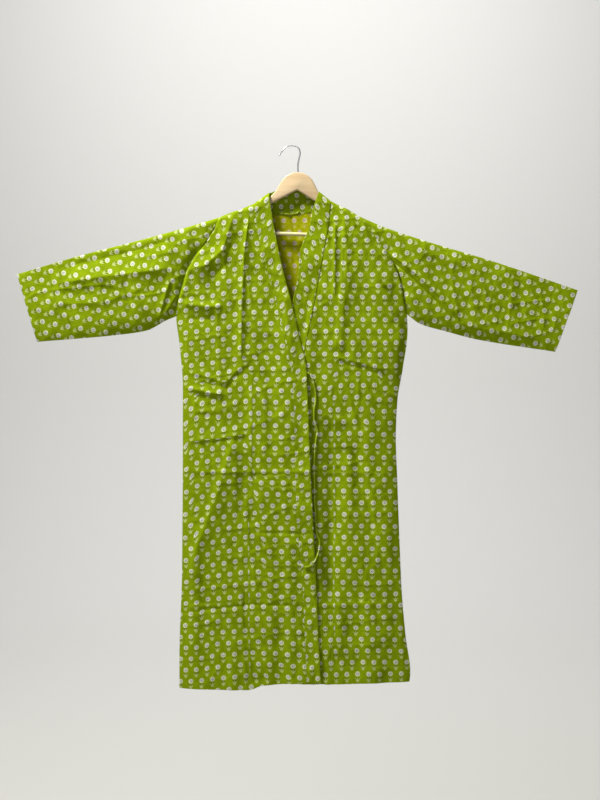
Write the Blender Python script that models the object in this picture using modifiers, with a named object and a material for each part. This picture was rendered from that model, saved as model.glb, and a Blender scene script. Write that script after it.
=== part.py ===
"""Kimono robe on a flat wooden hanger, piece by piece as a maker sews it.

Metres, +Z up, X across the garment, front facing -Y. The origin is the inner
side of the hook's top, where a rail or peg carries the hanger. Left and right
are as seen from the front. Tables hold millimetres, one row for each section
or fold, and each names its columns.
"""

import bmesh
import bpy
import numpy as np

MM = 0.001

# Cloth wall and seams
WALL = 1.5
SEAM_GAP = 0.3
ARMHOLE_GAP = 0.5
HALF_SEAM = WALL / 2 + SEAM_GAP / 2
FOLD_HALF = 2.0

# How far the front and back stand from the middle plane
FRONT_DEPTH = 12.0
BACK_DEPTH = 10.5
CUFF_DEPTH = 3.6
ARMPIT_REACH = 290.0
CUFF_REACH = 660.0
TOP_TURN = 3.0
SIDE_TURN = 26.0
OVERLAP_LIFT = 4.0
OVERLAP_RAMP = 40.0

# Left side and armhole of the body: height, across
LEFT_EDGE = [
    (-1356, -279.5), (-1278, -279.5), (-1065, -273), (-735, -271), (-602, -271),
    (-494, -279.5), (-425, -287.5), (-385, -282.5), (-348, -271), (-310, -260),
    (-278, -242.5), (-248, -220), (-215, -197.5), (-177, -178),
]

# Right side and armhole of the body: height, across
RIGHT_EDGE = [
    (-1340, 296.5), (-1320, 299), (-1225, 287), (-1117, 277.5), (-995, 272),
    (-833, 266), (-730, 262.5), (-635, 266.5), (-558, 279.5), (-460, 292),
    (-420, 290.5), (-365, 282.5), (-323, 272.5), (-295, 260), (-255, 232.5),
    (-213, 200), (-174.5, 170),
]
ARMPIT_LEFT = (-287.5, -425)
ARMPIT_RIGHT = (290.5, -420)

# Shoulder lines from armhole to the fold of the neckband: across, height
SHOULDER_LEFT = [(-178, -177), (-150, -165), (-127.5, -158), (-102.5, -147.5), (-92, -143)]
SHOULDER_RIGHT = [(170, -174.5), (137.5, -155), (115, -145), (100, -137)]
NECK_LEFT = (-55, -116)
NECK_RIGHT = (70, -113)

# Sleeve edges from armhole to cuff: across, height
SLEEVE_TOP_LEFT = [(-178, -177), (-263, -203), (-380, -235), (-527, -273), (-686.5, -320)]
SLEEVE_LOW_LEFT = [(-287.5, -425), (-310, -434), (-363, -461), (-447, -473), (-636, -489)]
SLEEVE_TOP_RIGHT = [(170, -174.5), (236, -203), (351, -241), (504, -287), (718.5, -360)]
SLEEVE_LOW_RIGHT = [(290.5, -420), (324, -444), (389, -463), (466, -483), (662, -514)]

# Free edge and band seam of each front, top to hem: height, across
OUTER_EDGE = [
    (-116, -55), (-148, -51), (-229, -37.5), (-310, -20), (-410, 6), (-485, 22.5),
    (-548, 37.5), (-635, 42.5), (-835, 50), (-1135, 65), (-1340, 74.5),
]
OUTER_SEAM = [
    (-143, -92), (-219, -82), (-278, -68), (-386, -39), (-554, -1), (-610, 6),
    (-935, 15), (-1060, 27), (-1341, 40),
]
INNER_EDGE = [
    (-113, 70), (-168, 52.5), (-198, 47.5), (-260, 24), (-323, 18), (-398, 2.5),
    (-520, -12), (-640, -18), (-900, -10), (-1343, 0),
]
INNER_SEAM = [
    (-137, 100), (-198, 94), (-264, 82), (-323, 71), (-423, 52.5), (-518, 33.5),
    (-640, 22), (-900, 30), (-1344, 40),
]

# Hems: across, height
HEM_OUTER = [(-279.5, -1356), (-107, -1359.5), (-73, -1350), (-45, -1346), (40, -1341)]
HEM_INNER = [(40, -1344), (97.5, -1344.5), (197, -1342), (296.5, -1340)]
HEM_BACK = [(-279.5, -1354), (0, -1345), (296.5, -1338)]

# Back neck seam and the top of the neckband: across, height
NECK_SEAM = [(-92, -143), (-62, -163), (-36, -171), (0, -170), (44, -165), (70, -156), (100, -137)]
NECK_TOP = [(-55, -116), (-27, -106), (0, -104), (40, -106), (70, -113)]

# Largest folds of the outer front: name, rise, half width, line of across and height
OUTER_FOLDS = [
    ("ridge beside the band", 5, 9, [(-104, -168), (-116, -263), (-122, -385), (-125, -543)]),
    ("diagonal from the shoulder", 11, 19, [(-140, -165), (-170, -260), (-213, -299), (-247, -310)]),
    ("armpit fold", 8, 15, [(-270, -394), (-205, -403), (-170, -399)]),
    ("waist crumple", 14, 13, [(-262, -563), (-195, -582), (-160, -574), (-125, -553)]),
    ("second waist fold", 9, 12, [(-262, -608), (-205, -618), (-167, -620)]),
    ("waist tuck", 5, 10, [(-267, -740), (-105, -720)]),
    ("long soft diagonal", 8, 24, [(-140, -735), (-200, -908), (-227, -1000), (-250, -1090)]),
]

# Largest folds of the inner front: name, rise, half width, line of across and height
INNER_FOLDS = [
    ("ridge beside the band", 4, 9, [(110, -190), (107, -385)]),
    ("ridge from the shoulder", 7, 14, [(132, -165), (140, -290), (120, -528)]),
    ("side fold", 10, 17, [(235, -393), (250, -443), (252, -485), (247, -585)]),
    ("waist crease", 5, 11, [(110, -530), (180, -545), (235, -560)]),
    ("long diagonal", 6, 22, [(160, -745), (195, -915), (240, -1080), (275, -1165)]),
]

# Ripples of the back: name, rise, half width, line of across and height
BACK_FOLDS = [
    ("left ripple", 5, 34, [(-150, -260), (-175, -700), (-150, -1340)]),
    ("middle ripple", 4, 30, [(10, -420), (30, -860), (5, -1340)]),
    ("right ripple", 5, 36, [(160, -250), (180, -760), (165, -1340)]),
    ("waist crumple", 5, 22, [(-240, -600), (-60, -585), (190, -612)]),
]

# Largest folds of the sleeves: name, rise, half width, line of across and height
SLEEVE_FOLDS = [
    ("left long fold", 5, 18, [(-297, -250), (-430, -310), (-575, -338)]),
    ("left armpit fold", 5, 13, [(-300, -340), (-325, -400)]),
    ("right long fold", 6, 18, [(237, -263), (347, -353), (420, -433)]),
    ("right second fold", 5, 15, [(290, -370), (325, -440)]),
]

# Grids: heights of the closely set rows under a fold, and the usual steps
TURN_ROWS = [0, 2, 5, 10, 18, 30]
ARMHOLE_HEIGHT = 248.0
ARMPIT_PART = (1356 - 425) / (1356 - 177)
ROWS_BELOW_ARMPIT = 22
LOW_TURN_ROWS = [0, 4, 12, 26]
SLEEVE_ROW = 34.0
SLEEVE_COLUMNS = 12
FRONT_COLUMNS = 10
BAND_COLUMNS = 2

# Columns of the back and the neckband where they meet: across
SHOULDER_COLUMNS_LEFT = [-178, -158, -136, -114]
NECK_COLUMNS = [-92, -87, -77, -58, -30, 4, 38, 66, 86, 95, 100]
SHOULDER_COLUMNS_RIGHT = [120, 145, 170]

# Hanger, in its own frame: out from the middle, height from the head's top
HANGER_TOP = [
    (0, 0), (8, -0.4), (15, -2), (23.5, -5.6), (31, -11), (37.5, -18.5), (43, -27.5),
    (49, -39.5), (55, -50), (67, -65), (80, -73), (100, -82), (130, -97),
    (159, -109), (191, -124), (222, -133.5),
]
HANGER_LOW = [
    (226, -140), (222, -150), (206, -163), (192, -163), (192, -147), (186, -147),
    (65, -82), (0, -44),
]
HANGER_THICK = 12.0
HANGER_ROUND = 3.0
HANGER_TILT = -2.4
HANGER_PLACE = (17.5, -65)
BAR_RADIUS = 4.5
BAR_HEIGHT = -154.5
BAR_HALF = 192 - SEAM_GAP

# Hook wire: across, height, from the head to its free end
HOOK_WIRE = 3.5
HOOK_LINE = [
    (18.7, -64.6), (17.2, -56), (17.5, -44), (20.2, -30), (22.8, -16), (20.5, -6), (12, 0.2),
    (0, 1.75), (-11, -0.8), (-19, -7), (-24, -14), (-29, -21),
]

# Tie: across, height, from the outer front's edge down to its curled end
TIE_RADIUS = 2.4
TIE_POINTS = 60
TIE_CROSSING = -1015
TIE_LINE = [
    (40.2, -568), (44, -568.2), (48, -571), (52, -578), (57, -594), (61, -614), (62, -635),
    (57.5, -665), (58.5, -685), (66, -715), (62, -738), (57.5, -810), (58.5, -830), (59, -888),
    (61, -915), (64, -967), (72, -992), (71, -1003), (66, -1021), (58, -1038), (47.5, -1048),
    (34, -1051.5),
]

# Hanging loop at the back neck: across, height
LOOP_RADIUS = 1.4
LOOP_LINE = [(-29, -164), (-21, -166.5), (-8, -168), (5, -167.5), (14, -165.5), (21, -161)]

# Finish of each material: colour, roughness, metallic
FINISHES = {
    "printed_cloth": ((0.17, 0.23, 0.01, 1.0), 0.85, 0.0),
    "beech_wood": ((0.62, 0.50, 0.36, 1.0), 0.45, 0.0),
    "chromed_wire": ((0.75, 0.75, 0.76, 1.0), 0.2, 1.0),
}


def smooth(rows):
    """Return a function through rows of place and value that never overshoots."""
    place, value = np.array(sorted(rows), dtype=float).T
    step = np.diff(place)
    slope = np.diff(value) / step
    tangent = np.zeros_like(place)
    tangent[0] = slope[0]
    tangent[-1] = slope[-1]
    before, after = slope[:-1], slope[1:]
    same_way = before * after > 0
    inner = np.zeros_like(before)
    inner[same_way] = 2 / (1 / before[same_way] + 1 / after[same_way])
    tangent[1:-1] = inner

    def value_at(wanted):
        wanted = np.clip(wanted, place[0], place[-1])
        cell = np.clip(np.searchsorted(place, wanted) - 1, 0, len(step) - 1)
        t = (wanted - place[cell]) / step[cell]
        rise = (3 - 2 * t) * t * t
        start_pull = t * (1 - t) ** 2 * step[cell] * tangent[cell]
        end_pull = -t * t * (1 - t) * step[cell] * tangent[cell + 1]
        return value[cell] * (1 - rise) + value[cell + 1] * rise + start_pull + end_pull

    return value_at


LEFT_AT = smooth(LEFT_EDGE)
RIGHT_AT = smooth(RIGHT_EDGE)
OUTER_EDGE_AT = smooth(OUTER_EDGE)
OUTER_SEAM_AT = smooth(OUTER_SEAM)
INNER_EDGE_AT = smooth(INNER_EDGE)
INNER_SEAM_AT = smooth(INNER_SEAM)
BACK_TOP_AT = smooth(SHOULDER_LEFT + NECK_SEAM[1:-1] + SHOULDER_RIGHT)

SIDE_LEFT = [(x, z) for z, x in LEFT_EDGE if z <= ARMPIT_LEFT[1]]
SIDE_RIGHT = [(x, z) for z, x in RIGHT_EDGE if z <= ARMPIT_RIGHT[1]]
TOP_FOLDS = [
    SLEEVE_TOP_LEFT[::-1] + SHOULDER_LEFT[1:] + [NECK_LEFT],
    SLEEVE_TOP_RIGHT[::-1] + SHOULDER_RIGHT[1:] + [NECK_RIGHT],
]
LOW_FOLDS = [
    SLEEVE_LOW_LEFT[::-1] + SIDE_LEFT[::-1][1:],
    SLEEVE_LOW_RIGHT[::-1] + SIDE_RIGHT[::-1][1:],
]


def distance(x, z, line):
    """Return how far points are from a line of corners."""
    nearest = np.full(np.shape(x), np.inf)
    for (start_x, start_z), (end_x, end_z) in zip(line, line[1:]):
        run_x = end_x - start_x
        run_z = end_z - start_z
        part = ((x - start_x) * run_x + (z - start_z) * run_z) / (run_x ** 2 + run_z ** 2)
        part = np.clip(part, 0, 1)
        gap = np.hypot(x - start_x - part * run_x, z - start_z - part * run_z)
        nearest = np.minimum(nearest, gap)
    return nearest


def ramp(value):
    """Return a soft step from 0 to 1."""
    value = np.clip(value, 0, 1)
    return value * value * (3 - 2 * value)


def folds(x, z, table):
    """Return the summed rise of the folds in a table."""
    total = np.zeros(np.shape(x))
    for _, rise, half_width, line in table:
        total = total + rise * np.exp(-(distance(x, z, line) / half_width) ** 2)
    return total


def fullness(x, z):
    """Return 0 at the folded edges of the garment, rising to 1 inside it."""
    top = np.minimum(*[distance(x, z, line) for line in TOP_FOLDS])
    low = np.minimum(*[distance(x, z, line) for line in LOW_FOLDS])
    return (1 - np.exp(-top / TOP_TURN)) * (1 - np.exp(-low / SIDE_TURN))


def depth_limit(x, body_depth):
    """Return the depth of the hollow, shallower towards the cuffs."""
    along = (np.abs(x) - ARMPIT_REACH) / (CUFF_REACH - ARMPIT_REACH)
    return body_depth + (CUFF_DEPTH - body_depth) * ramp(along)


def front_y(x, z, table):
    """Return the middle of the front cloth's wall, towards -Y."""
    full = fullness(x, z)
    return -(HALF_SEAM + full * (depth_limit(x, FRONT_DEPTH) + folds(x, z, table)))


def back_y(x, z, table=BACK_FOLDS):
    """Return the middle of the back cloth's wall, towards +Y."""
    full = fullness(x, z)
    return HALF_SEAM + full * (depth_limit(x, BACK_DEPTH) + folds(x, z, table))


def outer_y(x, z):
    """Return the outer front's wall, lifted where it laps over the inner front."""
    lap = ramp((x - INNER_EDGE_AT(z) + OVERLAP_RAMP) / OVERLAP_RAMP)
    return front_y(x, z, OUTER_FOLDS) - OVERLAP_LIFT * lap * fullness(x, z)


def inner_y(x, z):
    """Return the inner front's wall."""
    return front_y(x, z, INNER_FOLDS)


def finish(name):
    """Return the named material, made on its first use."""
    material = bpy.data.materials.get(name)
    if material is None:
        colour, roughness, metallic = FINISHES[name]
        material = bpy.data.materials.new(name)
        material.use_nodes = True
        shader = material.node_tree.nodes["Principled BSDF"]
        shader.inputs["Base Color"].default_value = colour
        shader.inputs["Roughness"].default_value = roughness
        shader.inputs["Metallic"].default_value = metallic
    return material


def add_object(name, data, finish_name):
    """Put mesh or curve data in the garment's collection."""
    thing = bpy.data.objects.new(name, data)
    data.materials.append(finish(finish_name))
    collection.objects.link(thing)
    return thing


def add_wall(name, grid, closed=False):
    """Add a cloth wall through a grid of places, rows by columns by x, y, z."""
    rows, columns = grid.shape[0] - 1, grid.shape[1] - 1
    sheet = bmesh.new()
    bmesh.ops.create_grid(sheet, x_segments=columns, y_segments=rows, size=0.5)
    for vertex in sheet.verts:
        row = round((vertex.co.y + 0.5) * rows)
        column = round((vertex.co.x + 0.5) * columns)
        vertex.co = grid[row, column] * MM
    if closed:
        bmesh.ops.remove_doubles(sheet, verts=sheet.verts, dist=0.001 * MM)
    mesh = bpy.data.meshes.new(name)
    sheet.to_mesh(mesh)
    sheet.free()
    wall = add_object(name, mesh, "printed_cloth")
    mesh.shade_smooth()
    solid = wall.modifiers.new("cloth", "SOLIDIFY")
    solid.thickness = WALL * MM
    solid.offset = 0
    return wall


def blend_edges(left, right, bottom, top, across, up):
    """Return the x and z of a patch stretched between its four edges."""
    u, v = np.meshgrid(across, up)
    left_x, left_z = left(v)
    right_x, right_z = right(v)
    low_x, low_z = bottom(u)
    high_x, high_z = top(u)
    corners = [(left, 0), (right, 0), (left, 1), (right, 1)]
    weights = [(1 - u) * (1 - v), u * (1 - v), (1 - u) * v, u * v]
    x = (1 - u) * left_x + u * right_x + (1 - v) * low_x + v * high_x
    z = (1 - u) * left_z + u * right_z + (1 - v) * low_z + v * high_z
    for (edge, place), weight in zip(corners, weights):
        corner_x, corner_z = edge(place)
        x = x - weight * corner_x
        z = z - weight * corner_z
    return x, z


def upright(across_at, low, high, shift=0.0):
    """Return an edge that runs from one height to another."""
    def edge(part):
        z = low + (high - low) * np.asarray(part, dtype=float)
        return across_at(z) + shift, z
    return edge


def level(height_at, left, right, shift=0.0):
    """Return an edge that runs from one side to the other."""
    def edge(part):
        x = left + (right - left) * np.asarray(part, dtype=float)
        return x, height_at(x) + shift
    return edge


def row_parts(length, first_rows, usual, last_rows):
    """Return the places of rows along an edge, from 0 to 1, close at its ends."""
    start = np.array(first_rows) / length
    end = 1 - np.array(last_rows[::-1]) / length
    count = max(2, round((end[0] - start[-1]) * length / usual))
    middle = np.linspace(start[-1], end[0], count + 1)[1:-1]
    return np.concatenate([start, middle, end])


def armhole_rows():
    """Return the rows that the body and the sleeves share, armpit 0 to shoulder 1."""
    return row_parts(ARMHOLE_HEIGHT, LOW_TURN_ROWS, SLEEVE_ROW, TURN_ROWS)


def add_panel(name, edges, across, depth_at):
    """Add a cloth panel between its left, right, bottom and top edges."""
    below = np.linspace(0, ARMPIT_PART, ROWS_BELOW_ARMPIT + 1)[:-1]
    up = np.concatenate([below, ARMPIT_PART + (1 - ARMPIT_PART) * armhole_rows()])
    x, z = blend_edges(*edges, across, up)
    return add_wall(name, np.dstack([x, depth_at(x, z), z]))


def add_fronts():
    """Add the two fronts. The outer one laps over the inner one."""
    half = SEAM_GAP / 2
    across = np.linspace(0, 1, FRONT_COLUMNS + 1)
    seam_low, seam_high = HEM_OUTER[-1][1], SHOULDER_LEFT[-1][1]
    seam_x = OUTER_SEAM_AT(seam_low) - half
    add_panel("front_outer", [
        upright(LEFT_AT, HEM_OUTER[0][1], SHOULDER_LEFT[0][1]),
        upright(OUTER_SEAM_AT, seam_low, seam_high, -half),
        level(smooth(HEM_OUTER), HEM_OUTER[0][0], seam_x),
        level(smooth(SHOULDER_LEFT), SHOULDER_LEFT[0][0], SHOULDER_LEFT[-1][0] - half),
    ], across, outer_y)
    seam_low, seam_high = HEM_INNER[0][1], SHOULDER_RIGHT[-1][1]
    seam_x = INNER_SEAM_AT(seam_low) + half
    add_panel("front_inner", [
        upright(INNER_SEAM_AT, seam_low, seam_high, half),
        upright(RIGHT_AT, HEM_INNER[-1][1], SHOULDER_RIGHT[0][1]),
        level(smooth(HEM_INNER), seam_x, HEM_INNER[-1][0]),
        level(smooth(SHOULDER_RIGHT), SHOULDER_RIGHT[-1][0] + half, SHOULDER_RIGHT[0][0]),
    ], across, inner_y)


def add_bands():
    """Add the band of each front, from the shoulder to the hem."""
    half = SEAM_GAP / 2
    across = np.linspace(0, 1, BAND_COLUMNS + 1)
    seam_top, seam_low = SHOULDER_LEFT[-1], HEM_OUTER[-1][1]
    edge_low = OUTER_EDGE[-1][0]
    add_panel("band_outer", [
        upright(OUTER_SEAM_AT, seam_low, seam_top[1], half),
        upright(OUTER_EDGE_AT, edge_low, NECK_LEFT[1]),
        level(smooth([(40, seam_low), (74.5, edge_low)]), 40 + half, 74.5),
        level(smooth([seam_top, NECK_LEFT]), seam_top[0] + half, NECK_LEFT[0]),
    ], across, outer_y)
    seam_top, seam_low = SHOULDER_RIGHT[-1], HEM_INNER[0][1]
    edge_low = INNER_EDGE[-1][0]
    add_panel("band_inner", [
        upright(INNER_EDGE_AT, edge_low, NECK_RIGHT[1]),
        upright(INNER_SEAM_AT, seam_low, seam_top[1], -half),
        level(smooth([(0, edge_low), (40, seam_low)]), 0, 40 - half),
        level(smooth([NECK_RIGHT, seam_top]), NECK_RIGHT[0], seam_top[0] - half),
    ], across, inner_y)


def add_neckband():
    """Add the stretch of the band that stands up round the back neck."""
    half = SEAM_GAP / 2
    left, right = NECK_SEAM[0], NECK_SEAM[-1]
    edges = [
        upright(smooth([left[::-1], NECK_LEFT[::-1]]), left[1] + half, NECK_LEFT[1]),
        upright(smooth([right[::-1], NECK_RIGHT[::-1]]), right[1] + half, NECK_RIGHT[1]),
        level(BACK_TOP_AT, left[0], right[0], half),
        level(smooth(NECK_TOP), NECK_LEFT[0], NECK_RIGHT[0]),
    ]
    across = (np.array(NECK_COLUMNS) - left[0]) / (right[0] - left[0])
    x, z = blend_edges(*edges, across, np.linspace(0, 1, 4))
    add_wall("band_neck", np.dstack([x, back_y(x, z), z]))


def add_back():
    """Add the back, one panel from side to side."""
    half = SEAM_GAP / 2
    left, right = SHOULDER_LEFT[0][0], SHOULDER_RIGHT[0][0]
    columns = SHOULDER_COLUMNS_LEFT + NECK_COLUMNS + SHOULDER_COLUMNS_RIGHT
    add_panel("back", [
        upright(LEFT_AT, HEM_BACK[0][1], SHOULDER_LEFT[0][1] - half),
        upright(RIGHT_AT, HEM_BACK[-1][1], SHOULDER_RIGHT[0][1] - half),
        level(smooth(HEM_BACK), HEM_BACK[0][0], HEM_BACK[-1][0]),
        level(BACK_TOP_AT, left, right, -half),
    ], (np.array(columns) - left) / (right - left), back_y)


def add_sleeve(name, armhole_at, top_line, low_line, outward):
    """Add a flat sleeve: a tube from the armhole to the open cuff."""
    gap = ARMHOLE_GAP * outward
    top_at, low_at = smooth(top_line), smooth(low_line)
    (start_top, _), (end_top, end_high) = top_line[0], top_line[-1]
    (start_low, _), (end_low, end_base) = low_line[0], low_line[-1]
    armhole = upright(armhole_at, low_line[0][1], top_line[0][1], gap)
    cuff = upright(smooth([(end_base, end_low), (end_high, end_top)]), end_base, end_high)
    low = level(low_at, start_low + gap, end_low)
    high = level(top_at, start_top + gap, end_top)
    along = np.linspace(0, 1, SLEEVE_COLUMNS + 1)
    x, z = blend_edges(armhole, cuff, low, high, along, armhole_rows())
    front = np.minimum(front_y(x, z, SLEEVE_FOLDS), -FOLD_HALF)
    back = np.maximum(back_y(x, z, SLEEVE_FOLDS), FOLD_HALF)
    front[0] = front[-1] = back[0] = back[-1] = 0
    front_half = np.dstack([x, front, z])
    back_half = np.dstack([x, back, z])[::-1]
    add_wall(name, np.concatenate([front_half, back_half[1:]]), closed=True)


def smooth_route(points, count):
    """Return evenly set places on a smooth curve through a few points."""
    points = np.array(points, dtype=float)
    steps = np.linalg.norm(np.diff(points, axis=0), axis=1)
    travel = np.concatenate([[0], np.cumsum(steps)])
    wanted = np.linspace(0, travel[-1], count)
    columns = [smooth(list(zip(travel, column)))(wanted) for column in points.T]
    return np.stack(columns, axis=1)


def add_round(name, route, radius, finish_name, resolution=2):
    """Add a round bar, wire or cord along a route."""
    curve = bpy.data.curves.new(name, "CURVE")
    curve.dimensions = "3D"
    curve.bevel_depth = radius * MM
    curve.bevel_resolution = resolution
    curve.use_fill_caps = True
    line = curve.splines.new("POLY")
    line.points.add(len(route) - 1)
    for point, place in zip(line.points, route):
        point.co = (*(np.array(place) * MM), 1)
    return add_object(name, curve, finish_name)


def add_tie():
    """Add the narrow tie, from the outer edge down over the inner front."""
    x, z = smooth_route(TIE_LINE, TIE_POINTS).T
    clear = WALL / 2 + SEAM_GAP + TIE_RADIUS
    on_outer = ramp((OUTER_EDGE_AT(z) + 6 * TIE_RADIUS - x) / (4 * TIE_RADIUS))
    y = inner_y(x, z) - clear
    crossing = z < TIE_CROSSING
    y = np.where(crossing, y + on_outer * (outer_y(x, z) - clear - y), y)
    add_round("tie", np.stack([x, y, z], axis=1), TIE_RADIUS, "printed_cloth")


def add_hanging_loop():
    """Add the narrow hanging loop inside the back neck."""
    x, z = smooth_route(LOOP_LINE, 12).T
    y = back_y(x, z) - WALL / 2 - SEAM_GAP - LOOP_RADIUS
    add_round("hanging_loop", np.stack([x, y, z], axis=1), LOOP_RADIUS, "printed_cloth")


def hanger_place(out, height):
    """Turn a place in the hanger's own frame to the robe's frame."""
    turn = np.radians(HANGER_TILT)
    x = HANGER_PLACE[0] + out * np.cos(turn) - height * np.sin(turn)
    z = HANGER_PLACE[1] + out * np.sin(turn) + height * np.cos(turn)
    return x, z


def add_hanger():
    """Add the wooden hanger, its trouser bar and its wire hook."""
    half = HANGER_TOP + HANGER_LOW
    outline = half + [(-out, height) for out, height in half[-2:0:-1]]
    shape = bmesh.new()
    corners = []
    for out, height in outline:
        x, z = hanger_place(out, height)
        corners.append(shape.verts.new((x * MM, -HANGER_THICK / 2 * MM, z * MM)))
    face = shape.faces.new(corners)
    grown = bmesh.ops.extrude_face_region(shape, geom=[face])["geom"]
    moved = [item for item in grown if isinstance(item, bmesh.types.BMVert)]
    bmesh.ops.translate(shape, verts=moved, vec=(0, HANGER_THICK * MM, 0))
    bmesh.ops.recalc_face_normals(shape, faces=shape.faces)
    mesh = bpy.data.meshes.new("hanger_wood")
    shape.to_mesh(mesh)
    shape.free()
    wood = add_object("hanger_wood", mesh, "beech_wood")
    rounding = wood.modifiers.new("rounding", "BEVEL")
    rounding.width = HANGER_ROUND * MM
    rounding.segments = 2
    rounding.angle_limit = np.radians(60)
    ends = [hanger_place(out, BAR_HEIGHT) for out in (-BAR_HALF, BAR_HALF)]
    bar_line = [(x, 0, z) for x, z in ends]
    add_round("hanger_bar", bar_line, BAR_RADIUS, "beech_wood", resolution=4)
    x, z = smooth_route(HOOK_LINE, 34).T
    add_round("hanger_hook", np.stack([x, 0 * x, z], axis=1), HOOK_WIRE / 2, "chromed_wire")


for old in list(bpy.data.objects):
    bpy.data.objects.remove(old)
collection = bpy.data.collections.new("kimono_robe_on_hanger")
bpy.context.scene.collection.children.link(collection)

add_back()
add_fronts()
add_bands()
add_neckband()
add_sleeve("sleeve_left", LEFT_AT, SLEEVE_TOP_LEFT, SLEEVE_LOW_LEFT, -1)
add_sleeve("sleeve_right", RIGHT_AT, SLEEVE_TOP_RIGHT, SLEEVE_LOW_RIGHT, 1)
add_tie()
add_hanging_loop()
add_hanger()
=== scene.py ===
import math

import bpy
import numpy as np
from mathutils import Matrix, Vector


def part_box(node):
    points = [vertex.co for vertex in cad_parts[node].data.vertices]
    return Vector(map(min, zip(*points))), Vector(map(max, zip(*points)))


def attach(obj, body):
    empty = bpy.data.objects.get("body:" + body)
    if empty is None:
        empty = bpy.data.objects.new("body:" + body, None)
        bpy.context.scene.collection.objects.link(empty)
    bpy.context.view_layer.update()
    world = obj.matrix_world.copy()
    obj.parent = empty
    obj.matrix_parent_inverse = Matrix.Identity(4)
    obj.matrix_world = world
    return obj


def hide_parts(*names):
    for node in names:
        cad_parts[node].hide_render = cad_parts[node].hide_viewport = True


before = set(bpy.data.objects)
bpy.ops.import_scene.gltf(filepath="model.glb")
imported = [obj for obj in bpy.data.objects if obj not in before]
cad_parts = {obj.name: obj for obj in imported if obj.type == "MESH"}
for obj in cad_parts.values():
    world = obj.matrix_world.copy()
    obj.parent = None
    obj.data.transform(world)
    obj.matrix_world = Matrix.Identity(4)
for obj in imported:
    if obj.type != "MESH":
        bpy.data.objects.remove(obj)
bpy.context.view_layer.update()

MM = 0.001
BODY = "root"

# Lengths and tables hold millimetres, and left and right are as seen from the front.
# Walls of the cloth, half the gap at sewn seams and at the folds of sleeves, and the
# gap of the armholes
CLOTH_THICK = 0.6
BAND_THICK = 1.3
HALF_SEAM = 0.5
SLEEVE_FOLD_HALF = 1.1
ARMHOLE_GAP = 0.2

# Depth of the hollow robe before and behind its middle, shallower at the cuffs
FRONT_DEPTH = 12.0
BACK_DEPTH = 10.5
CUFF_DEPTH = 3.6
ARMPIT_REACH = 290.0
CUFF_REACH = 660.0

# Lean of the sleeves about their middle line, which drops towards the cuffs
SLEEVE_LEAN = 0.032
SLEEVE_MIDDLE = -320.0
SLEEVE_DROP = 0.25
LEAN_RAMP = 150.0

# How wide the cloth turns over at shoulders, sleeve tops and sides
TOP_TURN = 3.0
SLEEVE_TURN = 24.0
SLEEVE_ROUND = 0.45
HANGER_REACH = 232.0
HANGER_RAMP = 60.0
SIDE_TURN = 26.0

# How the outer front clears the inner one, and the width and rise of a band
OVERLAP_LIFT = 5.5
OVERLAP_RAMP = 40.0
LAYER_GAP = 1.2
BAND_WIDTH = 40.0
BAND_RISE = 0.8

# Dips of the cloth into its seams, deeper in the armholes past the hanger's end
SEAM_DEEP = 0.4
SEAM_WIDE = 2.2
ARMHOLE_DEEP = 8.0
ARMHOLE_HIGH = 2.5
HANGER_END = -235
HANGER_END_RAMP = 40.0
BODY_ROLL = 3.0
SLEEVE_VALLEY = 11.0

# Rows of the mesh: distances of the first rows from an edge, then steps between rows
TURN_ROWS = (0.6, 1.4, 2.5, 4, 6, 8.5, 12)
EDGE_ROWS = (0.8, 2.4)
BAND_EDGE_ROWS = (0.7, 1.8)
SLEEVE_LOW_ROWS = (0.8, 2.4, 5)
ARMHOLE_ROWS = (1.2, 2.6)
CUFF_ROWS = (1, 2.4)
BODY_STEP = 3.3
BACK_STEP = 4.4
SLEEVE_STEP = 2.8
BAND_STEP = 3.4
NECK_STEP = 3.2

# Lengths over which the rows are spread
SIDE_LENGTH = 930
ARMHOLE_LENGTH = 248
SLEEVE_LENGTH = 450
BACK_WIDTH = 576
OUTER_WIDTH = 315
INNER_WIDTH = 255
NECK_LENGTH = 192

# Left side and armhole of the body: height, across
LEFT_EDGE = [
    (-1356, -279.5), (-1278, -279.5), (-1065, -273), (-735, -271), (-602, -271),
    (-494, -279.5), (-425, -287.5), (-385, -282.5), (-348, -271), (-310, -260),
    (-278, -242.5), (-248, -220), (-215, -197.5), (-177, -178),
]

# Right side and armhole of the body: height, across
RIGHT_EDGE = [
    (-1340, 296.5), (-1320, 299), (-1225, 287), (-1117, 277.5), (-995, 272),
    (-833, 266), (-730, 262.5), (-635, 266.5), (-558, 279.5), (-460, 292),
    (-420, 290.5), (-365, 282.5), (-323, 272.5), (-295, 260), (-255, 232.5),
    (-213, 200), (-174.5, 170),
]
ARMPIT_LEFT = (-287.5, -425)
ARMPIT_RIGHT = (290.5, -420)

# Share of the body's height that lies below the armpit
ARMPIT_PART = (ARMPIT_LEFT[1] - LEFT_EDGE[0][0]) / (LEFT_EDGE[-1][0] - LEFT_EDGE[0][0])

# Shoulder lines from armhole to the fold of the neckband: across, height
SHOULDER_LEFT = [(-178, -177), (-150, -165), (-127.5, -158), (-102.5, -147.5), (-92, -143)]
SHOULDER_RIGHT = [(170, -174.5), (137.5, -155), (115, -145), (100, -137)]
NECK_LEFT = (-55, -116)
NECK_RIGHT = (70, -113)

# Sleeve edges from armhole to cuff: across, height
SLEEVE_TOP_LEFT = [(-178, -177), (-263, -203), (-380, -235), (-527, -273), (-686.5, -320)]
SLEEVE_LOW_LEFT = [(-287.5, -425), (-310, -434), (-363, -461), (-447, -473), (-636, -489)]
SLEEVE_TOP_RIGHT = [(170, -174.5), (236, -203), (351, -241), (504, -287), (718.5, -360)]
SLEEVE_LOW_RIGHT = [(290.5, -420), (324, -444), (389, -463), (466, -483), (662, -514)]

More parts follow.
